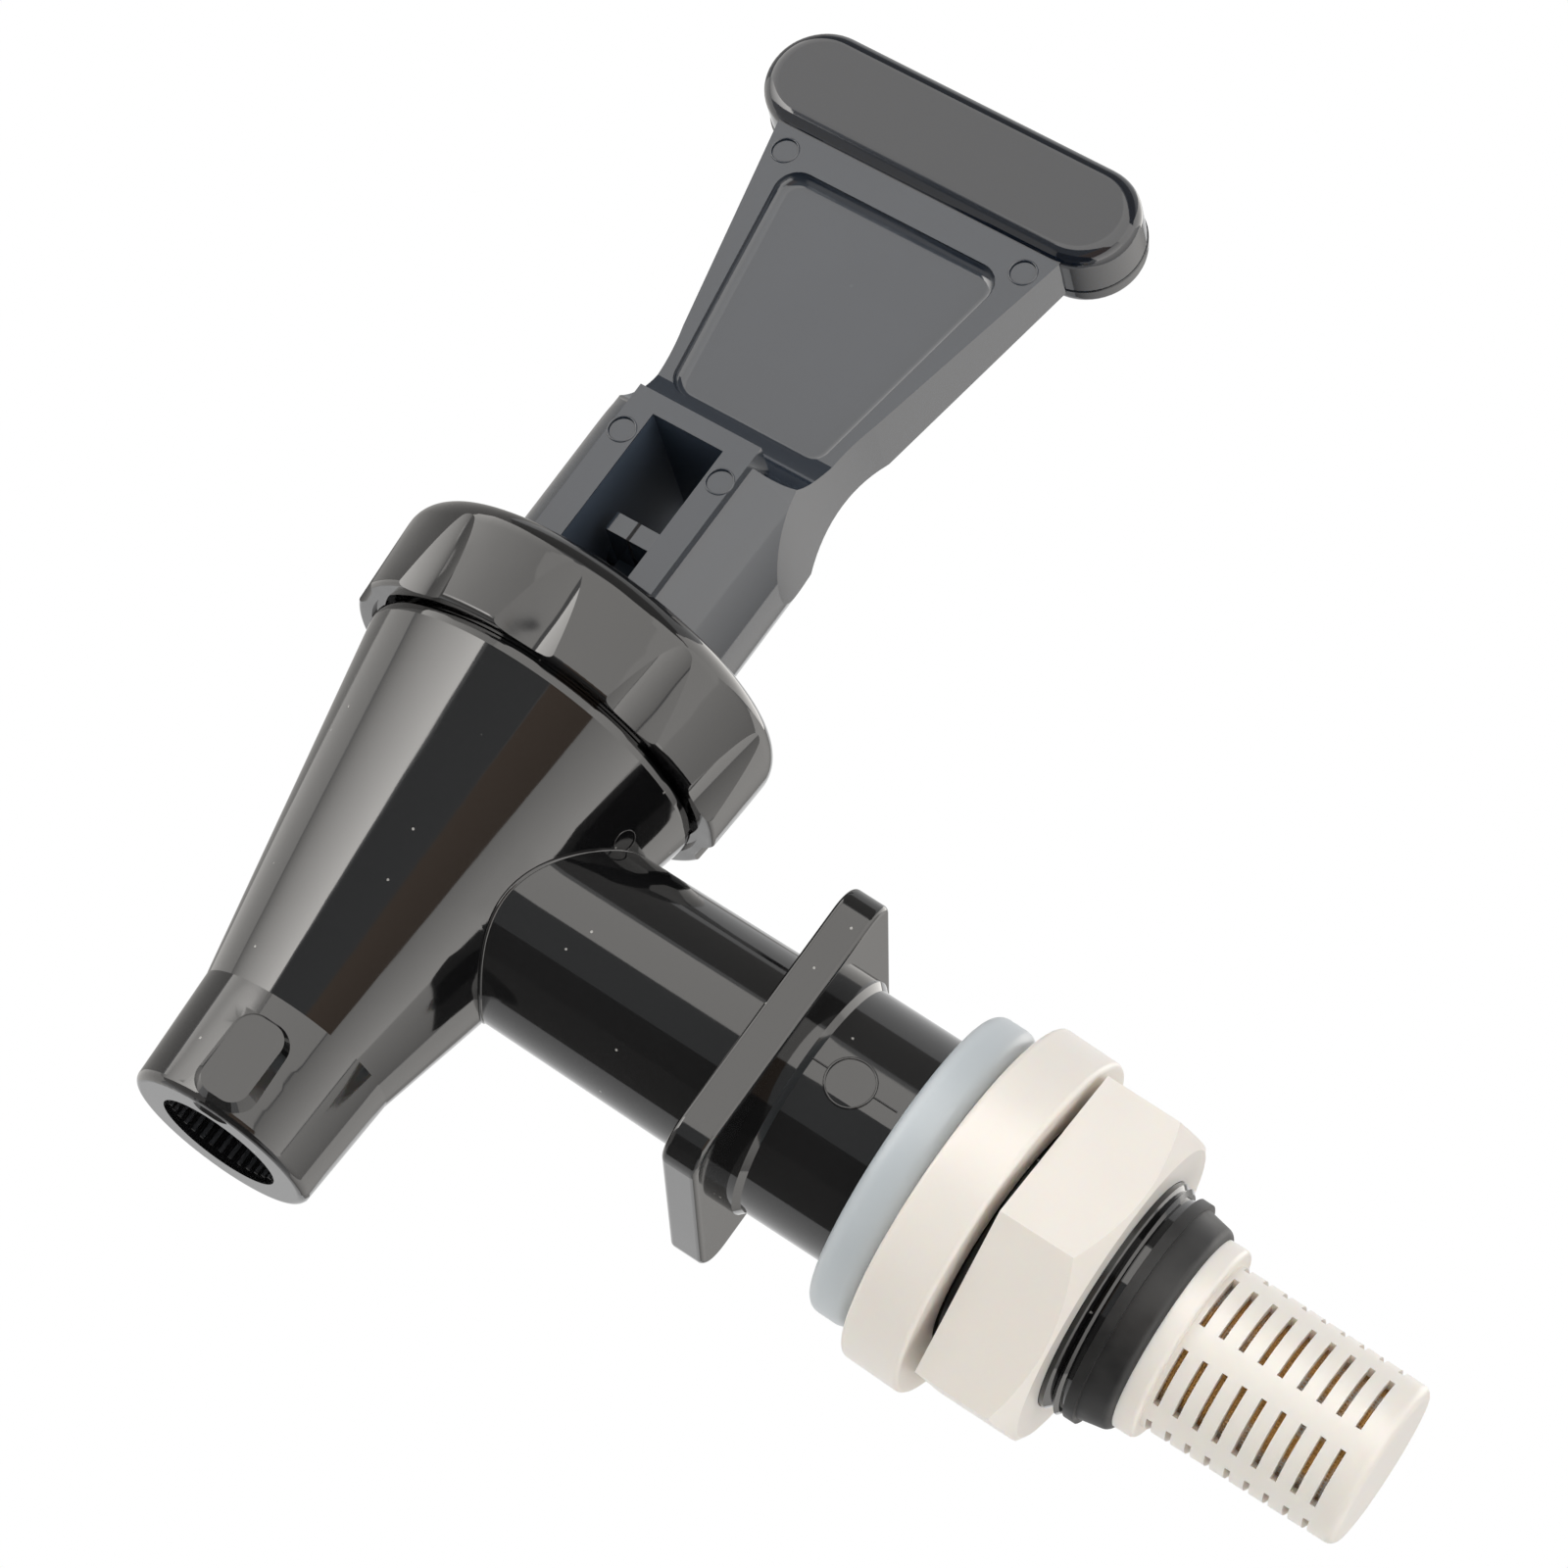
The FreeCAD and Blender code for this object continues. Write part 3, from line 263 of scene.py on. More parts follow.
# Ribs in the outlet
# Fine upright ribs line the mouth of the outlet bore and straighten the stream. They are
# part of the body's moulding, but their black is painted a lighter grey as painted light,
# so that they show in the dark bore.
body_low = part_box("tap_body")[0]
mouth_height = body_low.z
cone_rim_radius = 0.0151
spout_x = body_low.x + cone_rim_radius
bore_radius = 0.0052
rib_count = 36
rib_wide = 0.00046
rib_deep = 0.00030
rib_sunk_share = 0.35
rib_tall = 0.009
rib_start = 0.0008
crease_angle = math.radians(50)

bpy.ops.object.select_all(action="DESELECT")
bpy.ops.mesh.primitive_cylinder_add(vertices=8, radius=rib_deep, depth=rib_tall, location=(0, 0, 0))
ribs = bpy.context.object
ribs.name = "outlet_ribs"
bpy.ops.object.mode_set(mode="EDIT")
bpy.ops.mesh.select_all(action="SELECT")
bpy.ops.transform.resize(value=(1, rib_wide / 2 / rib_deep, 1))
rib_place = (bore_radius + rib_deep * rib_sunk_share, 0, rib_start + rib_tall / 2)
bpy.ops.transform.translate(value=rib_place)
bpy.ops.mesh.spin(
    steps=rib_count - 1, dupli=True, angle=math.tau * (rib_count - 1) / rib_count,
    center=(0, 0, 0), axis=(0, 0, 1),
)
bpy.ops.mesh.select_all(action="SELECT")
bpy.ops.transform.translate(value=(spout_x, 0, mouth_height))
bpy.ops.mesh.normals_make_consistent(inside=False)
bpy.ops.object.mode_set(mode="OBJECT")
bpy.ops.object.shade_smooth_by_angle(angle=crease_angle)
# Painted light: the ribs are painted dark grey, lighter than the body's black.
rib_painted_light = new_finish(
    "Ribs of the outlet",
    {"Ripple Size": 0.003, "Ripple Height": 3e-6, "Grain Size": 3e-4, "Grain Height": 5e-7,
     "Smooth": 0.26, "Rough": 0.34},
    {"Cell Size": 0.003, "Speck Share": 0.03, "Chosen": 0.2, "Colour": (0.040, 0.042, 0.046),
     "Speck Colour": (0.020, 0.020, 0.022), "Drift": 0.5},
)
ribs.data.materials.append(rib_painted_light)
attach(ribs, "tap")


# Fillet where the tube leaves the cone
# The mould's two cuts meet in a small fillet all round the tube, which shows on the black
# plastic as one thin bright line.
tube_radius = 0.00862
cone_radius_level = 0.01249
cone_slope = 0.21245
fillet_thick = 0.00022
fillet_points = 120

bpy.ops.object.select_all(action="DESELECT")
bpy.ops.mesh.primitive_circle_add(
    vertices=fillet_points, radius=tube_radius, rotation=(0, math.pi / 2, 0))
fillet = bpy.context.object
fillet.name = "tube_fillet"
bpy.ops.object.transform_apply(location=True, rotation=True, scale=True)
for vertex in fillet.data.vertices:
    cone_radius = cone_radius_level + vertex.co.z * cone_slope
    vertex.co.x = spout_x + math.sqrt(cone_radius ** 2 - vertex.co.y ** 2)
bpy.ops.object.convert(target="CURVE")
fillet.data.bevel_depth = fillet_thick
fillet.data.bevel_resolution = 2
bpy.ops.object.convert(target="MESH")
bpy.ops.object.shade_smooth()
fillet.data.materials.clear()
fillet.data.materials.append(body_black)
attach(fillet, "tap")


# Round mark on the cone
# An ejector pin left a small round mark high on the cone, on the side of the tube.
cone_mark_turn = math.radians(66.4)
cone_mark_height = 0.0076
cone_mark_radius = 0.00100
cone_mark_thick = 0.00005

cone_out = Vector((math.sin(cone_mark_turn), -math.cos(cone_mark_turn), -cone_slope)).normalized()
cone_reach = cone_radius_level + cone_mark_height * cone_slope
bpy.ops.object.select_all(action="DESELECT")
bpy.ops.mesh.primitive_torus_add(
    major_segments=40, minor_segments=8,
    major_radius=cone_mark_radius, minor_radius=cone_mark_thick,
    location=(
        spout_x + cone_reach * math.sin(cone_mark_turn),
        -cone_reach * math.cos(cone_mark_turn),
        cone_mark_height,
    ),
    rotation=cone_out.to_track_quat("Z", "Y").to_euler(),
)
cone_mark = bpy.context.object
cone_mark.name = "cone_mark_rim"
bpy.ops.object.transform_apply(location=True, rotation=True, scale=True)
bpy.ops.object.shade_smooth()
cone_mark.data.materials.append(body_black)
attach(cone_mark, "tap")


# Thread's end on the shank
# The shank's moulded thread runs out just past the nut, and about one turn of it shows
# before the rubber sleeve.
relief_start = 0.0294
thread_gap = 0.0003
root_radius = 0.0093
crest_radius = 0.00995
thread_pitch = 0.0008
thread_half_width = thread_pitch * 0.42
thread_steps = 72
thread_crease = math.radians(40)

bpy.ops.object.select_all(action="DESELECT")
bpy.ops.mesh.primitive_circle_add(vertices=6, radius=thread_half_width, location=(0, 0, 0))
thread = bpy.context.object
thread.name = "shank_thread_end"
bpy.ops.object.mode_set(mode="EDIT")
bpy.ops.mesh.select_all(action="SELECT")
bpy.ops.transform.resize(value=(1, (crest_radius - root_radius) / thread_half_width, 1))
bpy.ops.transform.translate(value=(relief_start + thread_gap, root_radius, 0))
bpy.ops.object.mode_set(mode="OBJECT")
helix = thread.modifiers.new("Helix", "SCREW")
helix.axis = "X"
helix.angle = math.tau
helix.screw_offset = thread_pitch
helix.steps = thread_steps
helix.render_steps = thread_steps
bpy.ops.object.modifier_apply(modifier="Helix")
bpy.ops.object.mode_set(mode="EDIT")
bpy.ops.mesh.select_all(action="SELECT")
bpy.ops.mesh.fill_holes(sides=0)
bpy.ops.mesh.normals_make_consistent(inside=False)
bpy.ops.object.mode_set(mode="OBJECT")
bpy.ops.object.shade_smooth_by_angle(angle=thread_crease)
thread.data.materials.append(body_black)
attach(thread, "tap")


# The shank's round mark and parting line
# On the shank's front the mould's halves met in a fine raised line, and an ejector pin left
# a round mark in its way.
shank_radius = 0.0100
shank_mark = Vector((0.0052, 0, 0))
shank_mark_radius = 0.0020
shank_mark_thick = 0.00010
shank_line_thick = 0.00008
shank_line_stretches = ((0.0009, 0.0032), (0.0072, 0.0094))

bpy.ops.object.select_all(action="DESELECT")
bpy.ops.mesh.primitive_torus_add(
    major_segments=64, minor_segments=8,
    major_radius=shank_mark_radius, minor_radius=shank_mark_thick,
    location=shank_mark, rotation=(math.pi / 2, 0, 0),
)
parting = bpy.context.object
parting.name = "shank_parting_line"
for start, end in shank_line_stretches:
    bpy.ops.object.select_all(action="DESELECT")
    bpy.ops.mesh.primitive_cylinder_add(
        vertices=8, radius=shank_line_thick, depth=end - start,
        location=((start + end) / 2, 0, 0), rotation=(0, math.pi / 2, 0),
    )
    parting.select_set(True)
    bpy.context.view_layer.objects.active = parting
    bpy.ops.object.join()
bpy.ops.object.transform_apply(location=True, rotation=True, scale=True)
for vertex in parting.data.vertices:
    vertex.co.y -= math.sqrt(shank_radius ** 2 - vertex.co.z ** 2)
bpy.ops.object.shade_smooth_by_angle(angle=crease_angle)
parting.data.materials.append(body_black)
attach(parting, "tap")


# The bonnet
# The screwed bonnet is the same black plastic as the body, turned by hand on its finger
# scallops, and a little wavier where the thick wall shrank.
bonnet_black = new_finish(
    "Polished black bonnet",
    {"Ripple Size": 0.0055, "Ripple Height": 9.0e-5, "Grain Size": 5e-4, "Grain Height": 3e-7,
     "Smooth": 0.04, "Rough": 0.08},
    {"Cell Size": 0.0040, "Speck Share": 0.030, "Chosen": 0.5, "Colour": body_colour,
     "Speck Colour": body_dust},
    {"IOR": 1.55},
)
dress("bonnet", bonnet_black)


# The seat cup, inside
# A bell of soft clear silicone closes the seat. It is clamped under the bonnet and shows
# only when the tap is taken apart.
clear_silicone = new_finish(
    "Clear silicone",
    {"Ripple Size": 0.004, "Ripple Height": 1e-5, "Grain Size": 3e-4, "Grain Height": 1e-6,
     "Smooth": 0.25, "Rough": 0.35},
    {"Cell Size": 0.003, "Speck Share": 0.02, "Chosen": 0.1, "Colour": (0.78, 0.80, 0.80),
     "Speck Colour": (0.60, 0.62, 0.62), "Drift": 0.2},
    {"Subsurface Weight": 0.6, "Subsurface Scale": 0.002},
)
dress("seat_cup", clear_silicone)


# The stem
# The stem is a blue-black moulding with a split head. Its two glossy noses mirror the light
# as pale squares in the lever's window, and the gap between them is painted near black as
# painted shade.
lever_turn = math.radians(-10)
nose_gap_middle = (0, -0.008, 0.0270)
nose_gap_half = (0.00016, 0.0045, 0.0050)
# Painted shade: the split between the noses is painted near black and matt.
nose_gap_painted_shade = (0.004, 0.004, 0.005)


def make_box_mask():
    """1 inside a box that is turned with the lever, 0 outside it."""
    group, given, result = new_group(
        "Box mask",
        [("Middle", (0.0, 0.0, 0.0)), ("Half", (0.01, 0.01, 0.01))],
        [("Mask", "NodeSocketFloat")],
    )
    place = group.nodes.new("ShaderNodeMapping")
    place.vector_type = "TEXTURE"
    feed(group, place.inputs["Rotation"], (0, 0, lever_turn))
    feed(group, place.inputs["Vector"], object_place(group))
    feed(group, place.inputs["Location"], given["Middle"])
    feed(group, place.inputs["Scale"], given["Half"])
    size = group.nodes.new("ShaderNodeVectorMath")
    size.operation = "ABSOLUTE"
    feed(group, size.inputs[0], place.outputs["Vector"])
    sides = group.nodes.new("ShaderNodeSeparateXYZ")
    feed(group, sides.inputs["Vector"], size.outputs["Vector"])
    largest = add_math(group, "MAXIMUM", sides.outputs["X"], sides.outputs["Y"])
    largest = add_math(group, "MAXIMUM", largest, sides.outputs["Z"])
    feed(group, result["Mask"], add_math(group, "LESS_THAN", largest, 1))
    return group


box_mask = make_box_mask()


def on_lever(across, depth, height):
    """Point of the lever, given across and behind its axis and up from the shank's."""
    turned = Matrix.Rotation(lever_turn, 3, "Z") @ Vector((across, depth, height))
    return turned + Vector((spout_x, 0, 0))


def paint_boxes(finish, boxes):
    """Change colour and roughness inside boxes: middle, half size, colour, roughness."""
    tree = finish.node_tree
    shader = tree.nodes["Principled BSDF"]
    shown_colour = shader.inputs["Base Color"].links[0].from_socket
    shown_roughness = shader.inputs["Roughness"].links[0].from_socket
    for middle, half, colour, roughness in boxes:
        mask = tree.nodes.new("ShaderNodeGroup")
        mask.node_tree = box_mask
        mask.inputs["Middle"].default_value = on_lever(*middle)
        mask.inputs["Half"].default_value = half
        inside = mask.outputs["Mask"]
        shown_colour = add_mix(tree, inside, shown_colour, colour)
        shown_roughness = add_range(tree, inside, to_ends=(shown_roughness, roughness))
    tree.links.new(shown_colour, shader.inputs["Base Color"])
    tree.links.new(shown_roughness, shader.inputs["Roughness"])


stem_blue = new_finish(
    "Blue-black stem",
    {"Ripple Size": 0.004, "Ripple Height": 6e-6, "Grain Size": 3e-4, "Grain Height": 5e-7,
     "Smooth": 0.06, "Rough": 0.11},
    {"Cell Size": 0.003, "Speck Share": 0.03, "Chosen": 0.2, "Colour": (0.030, 0.040, 0.054),
     "Speck Colour": (0.055, 0.065, 0.080), "Drift": 0.3},
    {"IOR": 1.56},
)
paint_boxes(stem_blue, [(nose_gap_middle, nose_gap_half, nose_gap_painted_shade, 0.9)])
dress("stem", stem_blue)


# The spring
# Drawn stainless wire, coiled, with fine die marks along the wire. The CAD spring can't
# shorten, so this one replaces it, with a mesh of its own.
spring_low, spring_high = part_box("spring")
wire_radius = 0.00045
coil_radius = 0.0047
coil_turns = 7.5
coil_steps = 240
spring_length = spring_high.z - spring_low.z

spring_steel = new_finish(
    "Spring wire",
    {"Ripple Size": 0.002, "Ripple Height": 2e-6, "Grain Size": 1e-4, "Grain Height": 1e-6,
     "Smooth": 0.22, "Rough": 0.34},
    {"Cell Size": 0.002, "Speck Share": 0.05, "Chosen": 0.3, "Colour": (0.58, 0.57, 0.55),
     "Speck Colour": (0.30, 0.28, 0.25), "Drift": 0.4},
    {"Metallic": 1.0},
)

bpy.ops.object.select_all(action="DESELECT")
bpy.ops.mesh.primitive_circle_add(
    vertices=10, radius=wire_radius, location=(coil_radius, 0, 0), rotation=(math.pi / 2, 0, 0))
coil = bpy.context.object
coil.name = "spring_coil"
bpy.ops.object.transform_apply(location=True, rotation=True, scale=True)
winding = coil.modifiers.new("Winding", "SCREW")
winding.axis = "Z"
winding.angle = coil_turns * math.tau
winding.screw_offset = spring_length - 2 * wire_radius
winding.steps = coil_steps
winding.render_steps = coil_steps
bpy.ops.object.modifier_apply(modifier="Winding")
bpy.ops.object.mode_set(mode="EDIT")
bpy.ops.mesh.select_all(action="SELECT")
bpy.ops.mesh.fill_holes(sides=0)
bpy.ops.mesh.normals_make_consistent(inside=False)
bpy.ops.transform.translate(value=(spout_x, 0, spring_low.z + wire_radius))
bpy.ops.object.mode_set(mode="OBJECT")
bpy.ops.object.shade_smooth_by_angle(angle=crease_angle)
coil.data.materials.append(spring_steel)
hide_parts("spring")
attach(coil, "swivel")
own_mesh(coil)


# The thrust washer
# A punched white acetal disc lets the spring turn under the bonnet.
washer_white = new_finish(
    "White acetal",
    {"Ripple Size": 0.004, "Ripple Height": 4e-6, "Grain Size": 3e-4, "Grain Height": 1e-6,
     "Smooth": 0.30, "Rough": 0.42},
    {"Cell Size": 0.003, "Speck Share": 0.03, "Chosen": 0.2, "Colour": (0.80, 0.80, 0.78),
     "Speck Colour": (0.65, 0.64, 0.60), "Drift": 0.2},
)
dress("thrust_washer", washer_white)


# The lever
# Column, paddle and bar are one moulding of smoky blue-black plastic. It is glossy on the
# bar, whose face is painted darker and bluer as painted shade, and matt and navy in the
# window, where the mould was left unpolished.
window_middle = (0, -0.00095, 0.030)
window_half = (0.00345, 0.00855, 0.0075)
window_navy = (0.020, 0.036, 0.062)
bar_height = 0.0721
bar_middle = (0, 0, 0.0722)
bar_half = (0.020, 0.010, 0.00485)
# Painted shade: the bar's face is painted darker and bluer than the rest of the lever.
bar_painted_shade = (0.0025, 0.0055, 0.0120)

lever_smoke = new_finish(
    "Smoky lever",
    {"Ripple Size": 0.008, "Ripple Height": 1.4e-5, "Grain Size": 6e-4, "Grain Height": 4e-7,
     "Smooth": 0.06, "Rough": 0.12},
    {"Cell Size": 0.005, "Speck Share": 0.03, "Chosen": 0.25, "Colour": (0.0230, 0.0300, 0.0430),
     "Speck Colour": (0.030, 0.040, 0.052), "Drift": 0.25},
    {"IOR": 1.56},
)
paint_boxes(lever_smoke, [
    (window_middle, window_half, window_navy, 0.8),
    (bar_middle, bar_half, bar_painted_shade, 0.08),
])
dress("lever", lever_smoke)


# Rims of the lever's round marks
# Where the ejector pins met the soft plastic they left a fine raised rim round each of the
# four round marks, two on the paddle and two on the window's frame.
mark_rim_radius = 0.00114
mark_rim_thick = 0.00008
# Each pair's distance from the middle, its face in front of the axis, and its height
paddle_marks = (0.0117, 0.0028, 0.0653)
window_marks = (0.00475, 0.0096, 0.0349)

rims = []
for half_distance, face, height in (paddle_marks, window_marks):
    for side in (-1, 1):
        bpy.ops.object.select_all(action="DESELECT")
        bpy.ops.mesh.primitive_torus_add(
            major_segments=48, minor_segments=8,
            major_radius=mark_rim_radius, minor_radius=mark_rim_thick,
            location=on_lever(side * half_distance, -face, height),
            rotation=(math.pi / 2, 0, lever_turn),
        )
        rims.append(bpy.context.object)
bpy.ops.object.select_all(action="DESELECT")
for rim in rims:
    rim.select_set(True)
bpy.context.view_layer.objects.active = rims[0]
bpy.ops.object.join()
lever_rims = bpy.context.object
lever_rims.name = "lever_mark_rims"
bpy.ops.object.transform_apply(location=True, rotation=True, scale=True)
bpy.ops.object.shade_smooth()
lever_rims.data.materials.append(lever_smoke)
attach(lever_rims, "lever")


# Parting line round the bar
# The lever's mould parts at the middle of the bar, and a fine line runs round its rim there.
bar_end_radius = 0.0048
bar_end_reach = 0.0128
bar_line_depth = 0.0012
bar_line_thick = 0.00010

bpy.ops.object.select_all(action="DESELECT")
bpy.ops.mesh.primitive_circle_add(vertices=64, radius=bar_end_radius, rotation=(math.pi / 2, 0, 0))
bar_line = bpy.context.object
bar_line.name = "bar_parting_line"
bpy.ops.object.transform_apply(location=True, rotation=True, scale=True)
for vertex in bar_line.data.vertices:
    across = vertex.co.x + math.copysign(bar_end_reach, vertex.co.x)
    vertex.co = on_lever(across, bar_line_depth, vertex.co.z + bar_height)
bpy.ops.object.convert(target="CURVE")
bar_line.data.bevel_depth = bar_line_thick
bar_line.data.bevel_resolution = 2
bpy.ops.object.convert(target="MESH")
bpy.ops.object.shade_smooth()
bar_line.data.materials.clear()
bar_line.data.materials.append(lever_smoke)
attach(bar_line, "lever")


# The silicone washer
# A soft moulded ring of milky silicone seals the flange against the tank's wall.
milky_silicone = new_finish(
    "Milky silicone",
    {"Ripple Size": 0.006, "Ripple Height": 1.5e-5, "Grain Size": 3e-4, "Grain Height": 1.5e-6,
     "Smooth": 0.30, "Rough": 0.42},
    {"Cell Size": 0.004, "Speck Share": 0.03, "Chosen": 0.2, "Colour": (0.60, 0.64, 0.665),
     "Speck Colour": (0.52, 0.57, 0.60), "Drift": 0.25},
    {"IOR": 1.41, "Subsurface Weight": 0.7, "Subsurface Radius": (1.0, 1.0, 1.0),
     "Subsurface Scale": 0.0025},
)
dress("silicone_washer", milky_silicone)


# The backing ring and the clamp nut
# Both are ivory polypropylene, moulded with a satin skin that scuffs to faint spots.
ivory_colour = (0.945, 0.882, 0.815)
ivory_speck = (0.62, 0.50, 0.36)


def make_ivory(name, cell):
    """Satin ivory moulding, with its spots in cells of a size of their own."""
    return new_finish(
        name,
        {"Ripple Size": 0.007, "Ripple Height": 2.0e-5, "Grain Size": 3.5e-4,
         "Grain Height": 1.6e-6, "Smooth": 0.30, "Rough": 0.42},
        {"Cell Size": cell, "Speck Share": 0.035, "Chosen": 0.18, "Colour": ivory_colour,
         "Speck Colour": ivory_speck, "Drift": 0.05},
        {"IOR": 1.49, "Subsurface Weight": 0.25, "Subsurface Radius": (1.0, 0.55, 0.28),
         "Subsurface Scale": 0.0012},
    )


dress("backing_ring", make_ivory("Ivory ring", 0.0045))
dress("clamp_nut", make_ivory("Ivory nut", 0.0060))


# The rubber sleeve
# A black rubber sleeve plugs the shank and grips the filter. Its skin is matt and picks up
# pale dust.
sleeve_rubber = new_finish(
    "Black rubber",
    {"Ripple Size": 0.004, "Ripple Height": 2.2e-5, "Grain Size": 2.2e-4, "Grain Height": 5e-6,
     "Smooth": 0.40, "Rough": 0.62},
    {"Cell Size": 0.0020, "Speck Share": 0.07, "Chosen": 0.30, "Colour": (0.0060, 0.0060, 0.0065),
     "Speck Colour": (0.075, 0.074, 0.072), "Drift": 0.34},
    {"Specular IOR Level": 0.33},
)
dress("shank_sleeve", sleeve_rubber)


# The filter
# The cage is moulded in the same ivory plastic as the nut, with a slot for every gap
# between its rings. It holds a fine screen of pale woven threads, painted amber as painted
# light for the glow bounced inside the ivory cage, save in patches of the threads' own colour.
screen_radius = 0.0057
weave_pitch = 0.00034
weave_relief = 0.00006
clean_patch_size = 0.00385
bounce_glow_thread = (1.0, 0.56, 0.17)
clean_thread = (0.90, 0.87, 0.82)
gap_shade_and_glow = (0.80, 0.42, 0.12)

dress("filter_cage", make_ivory("Ivory filter", 0.0035))


def make_weave():
    """Height of a plain weave wound round the shank's axis."""
    group, given, result = new_group(
        "Round weave",
        [("Pitch", weave_pitch), ("Radius", screen_radius)],
        [("Height", "NodeSocketFloat")],
    )
    place = group.nodes.new("ShaderNodeSeparateXYZ")
    feed(group, place.inputs["Vector"], object_place(group))
    angle = add_math(group, "ARCTAN2", place.outputs["Y"], place.outputs["Z"])
    around = add_math(group, "MULTIPLY", angle, given["Radius"])
    waves = []
    for distance in (place.outputs["X"], around):
        count = add_math(group, "DIVIDE", distance, given["Pitch"])
        turn = add_math(group, "MULTIPLY", count, math.tau)
        waves.append(add_math(group, "SINE", turn))
    feed(group, result["Height"], add_math(group, "MAXIMUM", *waves))
    return group


woven_screen = bpy.data.materials.new("Woven screen")
woven_screen.use_nodes = True
tree = woven_screen.node_tree
shader = tree.nodes["Principled BSDF"]
weave = tree.nodes.new("ShaderNodeGroup")
weave.node_tree = make_weave()
weave_height = weave.outputs["Height"]
# Painted light: the screen is painted amber for light bounced inside the ivory cage, with patches
# of the threads' own pale colour.
clean_share = add_range(tree, add_noise(tree, object_place(tree), clean_patch_size), (0.50, 0.60))
thread_colour = add_mix(tree, clean_share, bounce_glow_thread, clean_thread)
# Painted shade: the weave's low gaps are painted a darker amber.
weave_lit_share = add_range(tree, weave_height, (-0.6, 0.7), (0.25, 1))
feed(tree, shader.inputs["Base Color"], add_mix(tree, weave_lit_share, gap_shade_and_glow, thread_colour))
relief = add_bump(tree, weave_height, weave_relief)
feed(tree, shader.inputs["Normal"], relief.outputs["Normal"])
shader.inputs["Roughness"].default_value = 0.5
dress("filter_screen", woven_screen)


# The studio
# A pale floor and a white world stand round the tap. Soft lamps light its matt plastic,
# and pale and dark boards give the black plastic its broad bands of light and shade.
white_level = 1.0
ambient_level = 0.36
floor_height = -0.20
floor_size = 30
floor_glow = 0.36
board_distance = 1.5
board_colour = (1.0, 0.975, 0.94)
lamp_distance = 1.2
lamp_width = 0.8


def background_rays(tree):
    """1 for the rays that should see a white background: camera, glossy, transmission."""
    light_path = tree.nodes.new("ShaderNodeLightPath").outputs
    seen = add_math(tree, "MAXIMUM", light_path["Is Camera Ray"], light_path["Is Glossy Ray"])
    return add_math(tree, "MAXIMUM", seen, light_path["Is Transmission Ray"])


world = bpy.data.worlds.new("Studio")
world.use_nodes = True
bpy.context.scene.world = world
tree = world.node_tree
sky = tree.nodes["Background"]
sky.inputs["Color"].default_value = (1, 1, 1, 1)
sky_level = add_range(tree, background_rays(tree), to_ends=(ambient_level, white_level))
feed(tree, sky.inputs["Strength"], sky_level)

bpy.ops.object.select_all(action="DESELECT")
bpy.ops.mesh.primitive_plane_add(size=floor_size, location=(0, 0, floor_height))
floor = bpy.context.object
floor.name = "floor"
floor.visible_glossy = False
pale_floor = bpy.data.materials.new("Pale floor")
pale_floor.use_nodes = True
tree = pale_floor.node_tree
shader = tree.nodes["Principled BSDF"]
shader.inputs["Base Color"].default_value = (0.86, 0.86, 0.85, 1)
shader.inputs["Roughness"].default_value = 0.7
shader.inputs["Emission Color"].default_value = (1, 1, 1, 1)
glow = add_math(tree, "MULTIPLY", background_rays(tree), floor_glow)
feed(tree, shader.inputs["Emission Strength"], glow)
floor.data.materials.append(pale_floor)


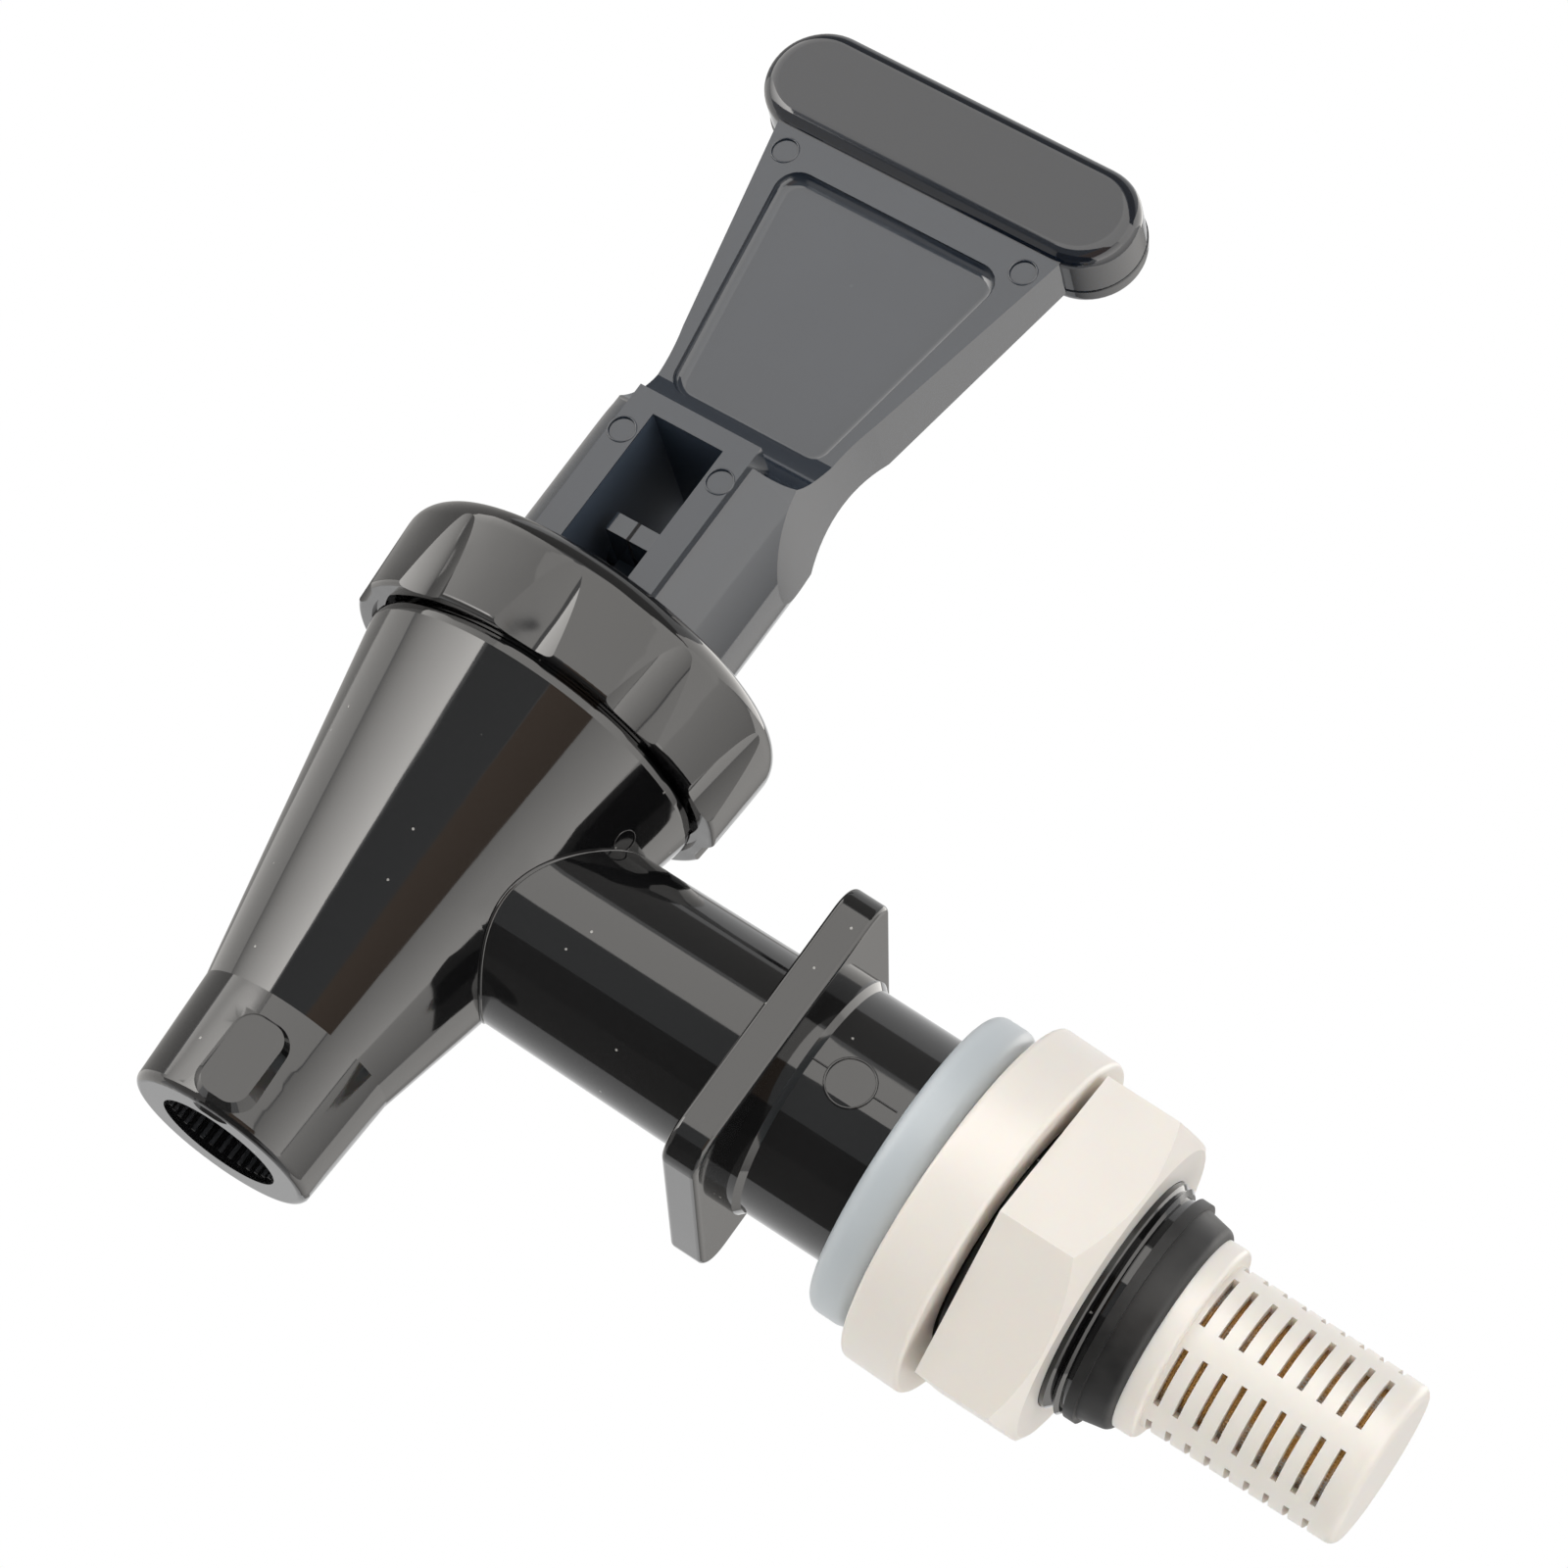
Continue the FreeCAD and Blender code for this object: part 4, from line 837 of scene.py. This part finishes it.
def add_board(name, azimuth, elevation, width, height, left, right, colour=board_colour):
    """Board that only reflections see: its middle and size as angles seen from the tap, in
    degrees, and its brightness at its two sides."""
    direction = toward(math.radians(azimuth), math.radians(elevation))
    bpy.ops.object.select_all(action="DESELECT")
    bpy.ops.mesh.primitive_plane_add(size=1, location=aim + direction * board_distance)
    board = bpy.context.object
    board.name = name
    board.rotation_mode = "QUATERNION"
    board.rotation_quaternion = direction.to_track_quat("Z", "Y")
    board.scale = (
        2 * board_distance * math.tan(math.radians(width / 2)),
        2 * board_distance * math.tan(math.radians(height / 2)),
        1,
    )
    board.visible_camera = False
    board.visible_diffuse = False
    board.visible_shadow = False
    board.visible_volume_scatter = False
    surface = bpy.data.materials.new(name)
    surface.use_nodes = True
    tree = surface.node_tree
    tree.nodes.clear()
    across = tree.nodes.new("ShaderNodeSeparateXYZ")
    feed(tree, across.inputs["Vector"], object_place(tree))
    emission = tree.nodes.new("ShaderNodeEmission")
    emission.inputs["Color"].default_value = (*colour, 1)
    brightness = add_range(tree, across.outputs["X"], (-0.5, 0.5), (left, right))
    feed(tree, emission.inputs["Strength"], brightness)
    output = tree.nodes.new("ShaderNodeOutputMaterial")
    feed(tree, output.inputs["Surface"], emission.outputs["Emission"])
    board.data.materials.append(surface)


add_board("low_left_board", -65, -5, 54, 26, 1.2, 8.6)
add_board("lowest_left_dark", -65, -42, 54, 48, 0.8, 0.8)
add_board("high_left_board", -62, 25, 56, 34, 3.6, 2.5)
add_board("far_left_board", -122, -15, 60, 46, 1.0, 2.0)
add_board("high_far_left_dark", -122, 30, 64, 44, 0.5, 0.7)
add_board("front_board", 1, 20, 70, 42, 3.2, 3.0)
add_board("low_right_board", 58, -14, 44, 50, 2.1, 4.2)
add_board("high_right_board", 58, 26, 44, 30, 3.4, 3.2)
add_board("right_rear_board", 103, 0, 46, 84, 2.8, 1.0)
add_board("rear_board", 150, 0, 46, 84, 2.3, 0.35)
add_board("high_rear_board", 120, 57, 80, 26, 3.0, 3.0)
add_board("low_front_dark", -14, -19, 44, 36, 0.45, 0.50, (0.97, 0.99, 1.0))
add_board("low_front_brown", 24, -19, 32, 36, 0.70, 0.55, (1.0, 0.74, 0.56))
add_board("lowest_front_dark", 2, -54.5, 76, 35, 0.15, 0.15)
add_board("high_front_dark", -20, 62, 110, 38, 0.35, 0.35)
add_board("under_dark", 0, -90, 50, 50, 0.2, 0.2)


def add_lamp(name, azimuth, elevation, power):
    """Soft square lamp that aims at the tap and is left out of reflections."""
    direction = toward(math.radians(azimuth), math.radians(elevation))
    bpy.ops.object.light_add(type="AREA", location=aim + direction * lamp_distance)
    lamp = bpy.context.object
    lamp.name = name
    lamp.rotation_mode = "QUATERNION"
    lamp.rotation_quaternion = direction.to_track_quat("Z", "Y")
    lamp.data.size = lamp_width
    lamp.data.energy = power
    lamp.visible_glossy = False
    lamp.visible_camera = False


add_lamp("key_lamp", -30, 30, 5.6)
add_lamp("side_lamp", 55, 5, 3.2)
add_lamp("low_lamp", 0, -40, 3.8)
add_lamp("rear_lamp", 175, 40, 4.5)

bpy.context.scene.view_settings.view_transform = "Standard"
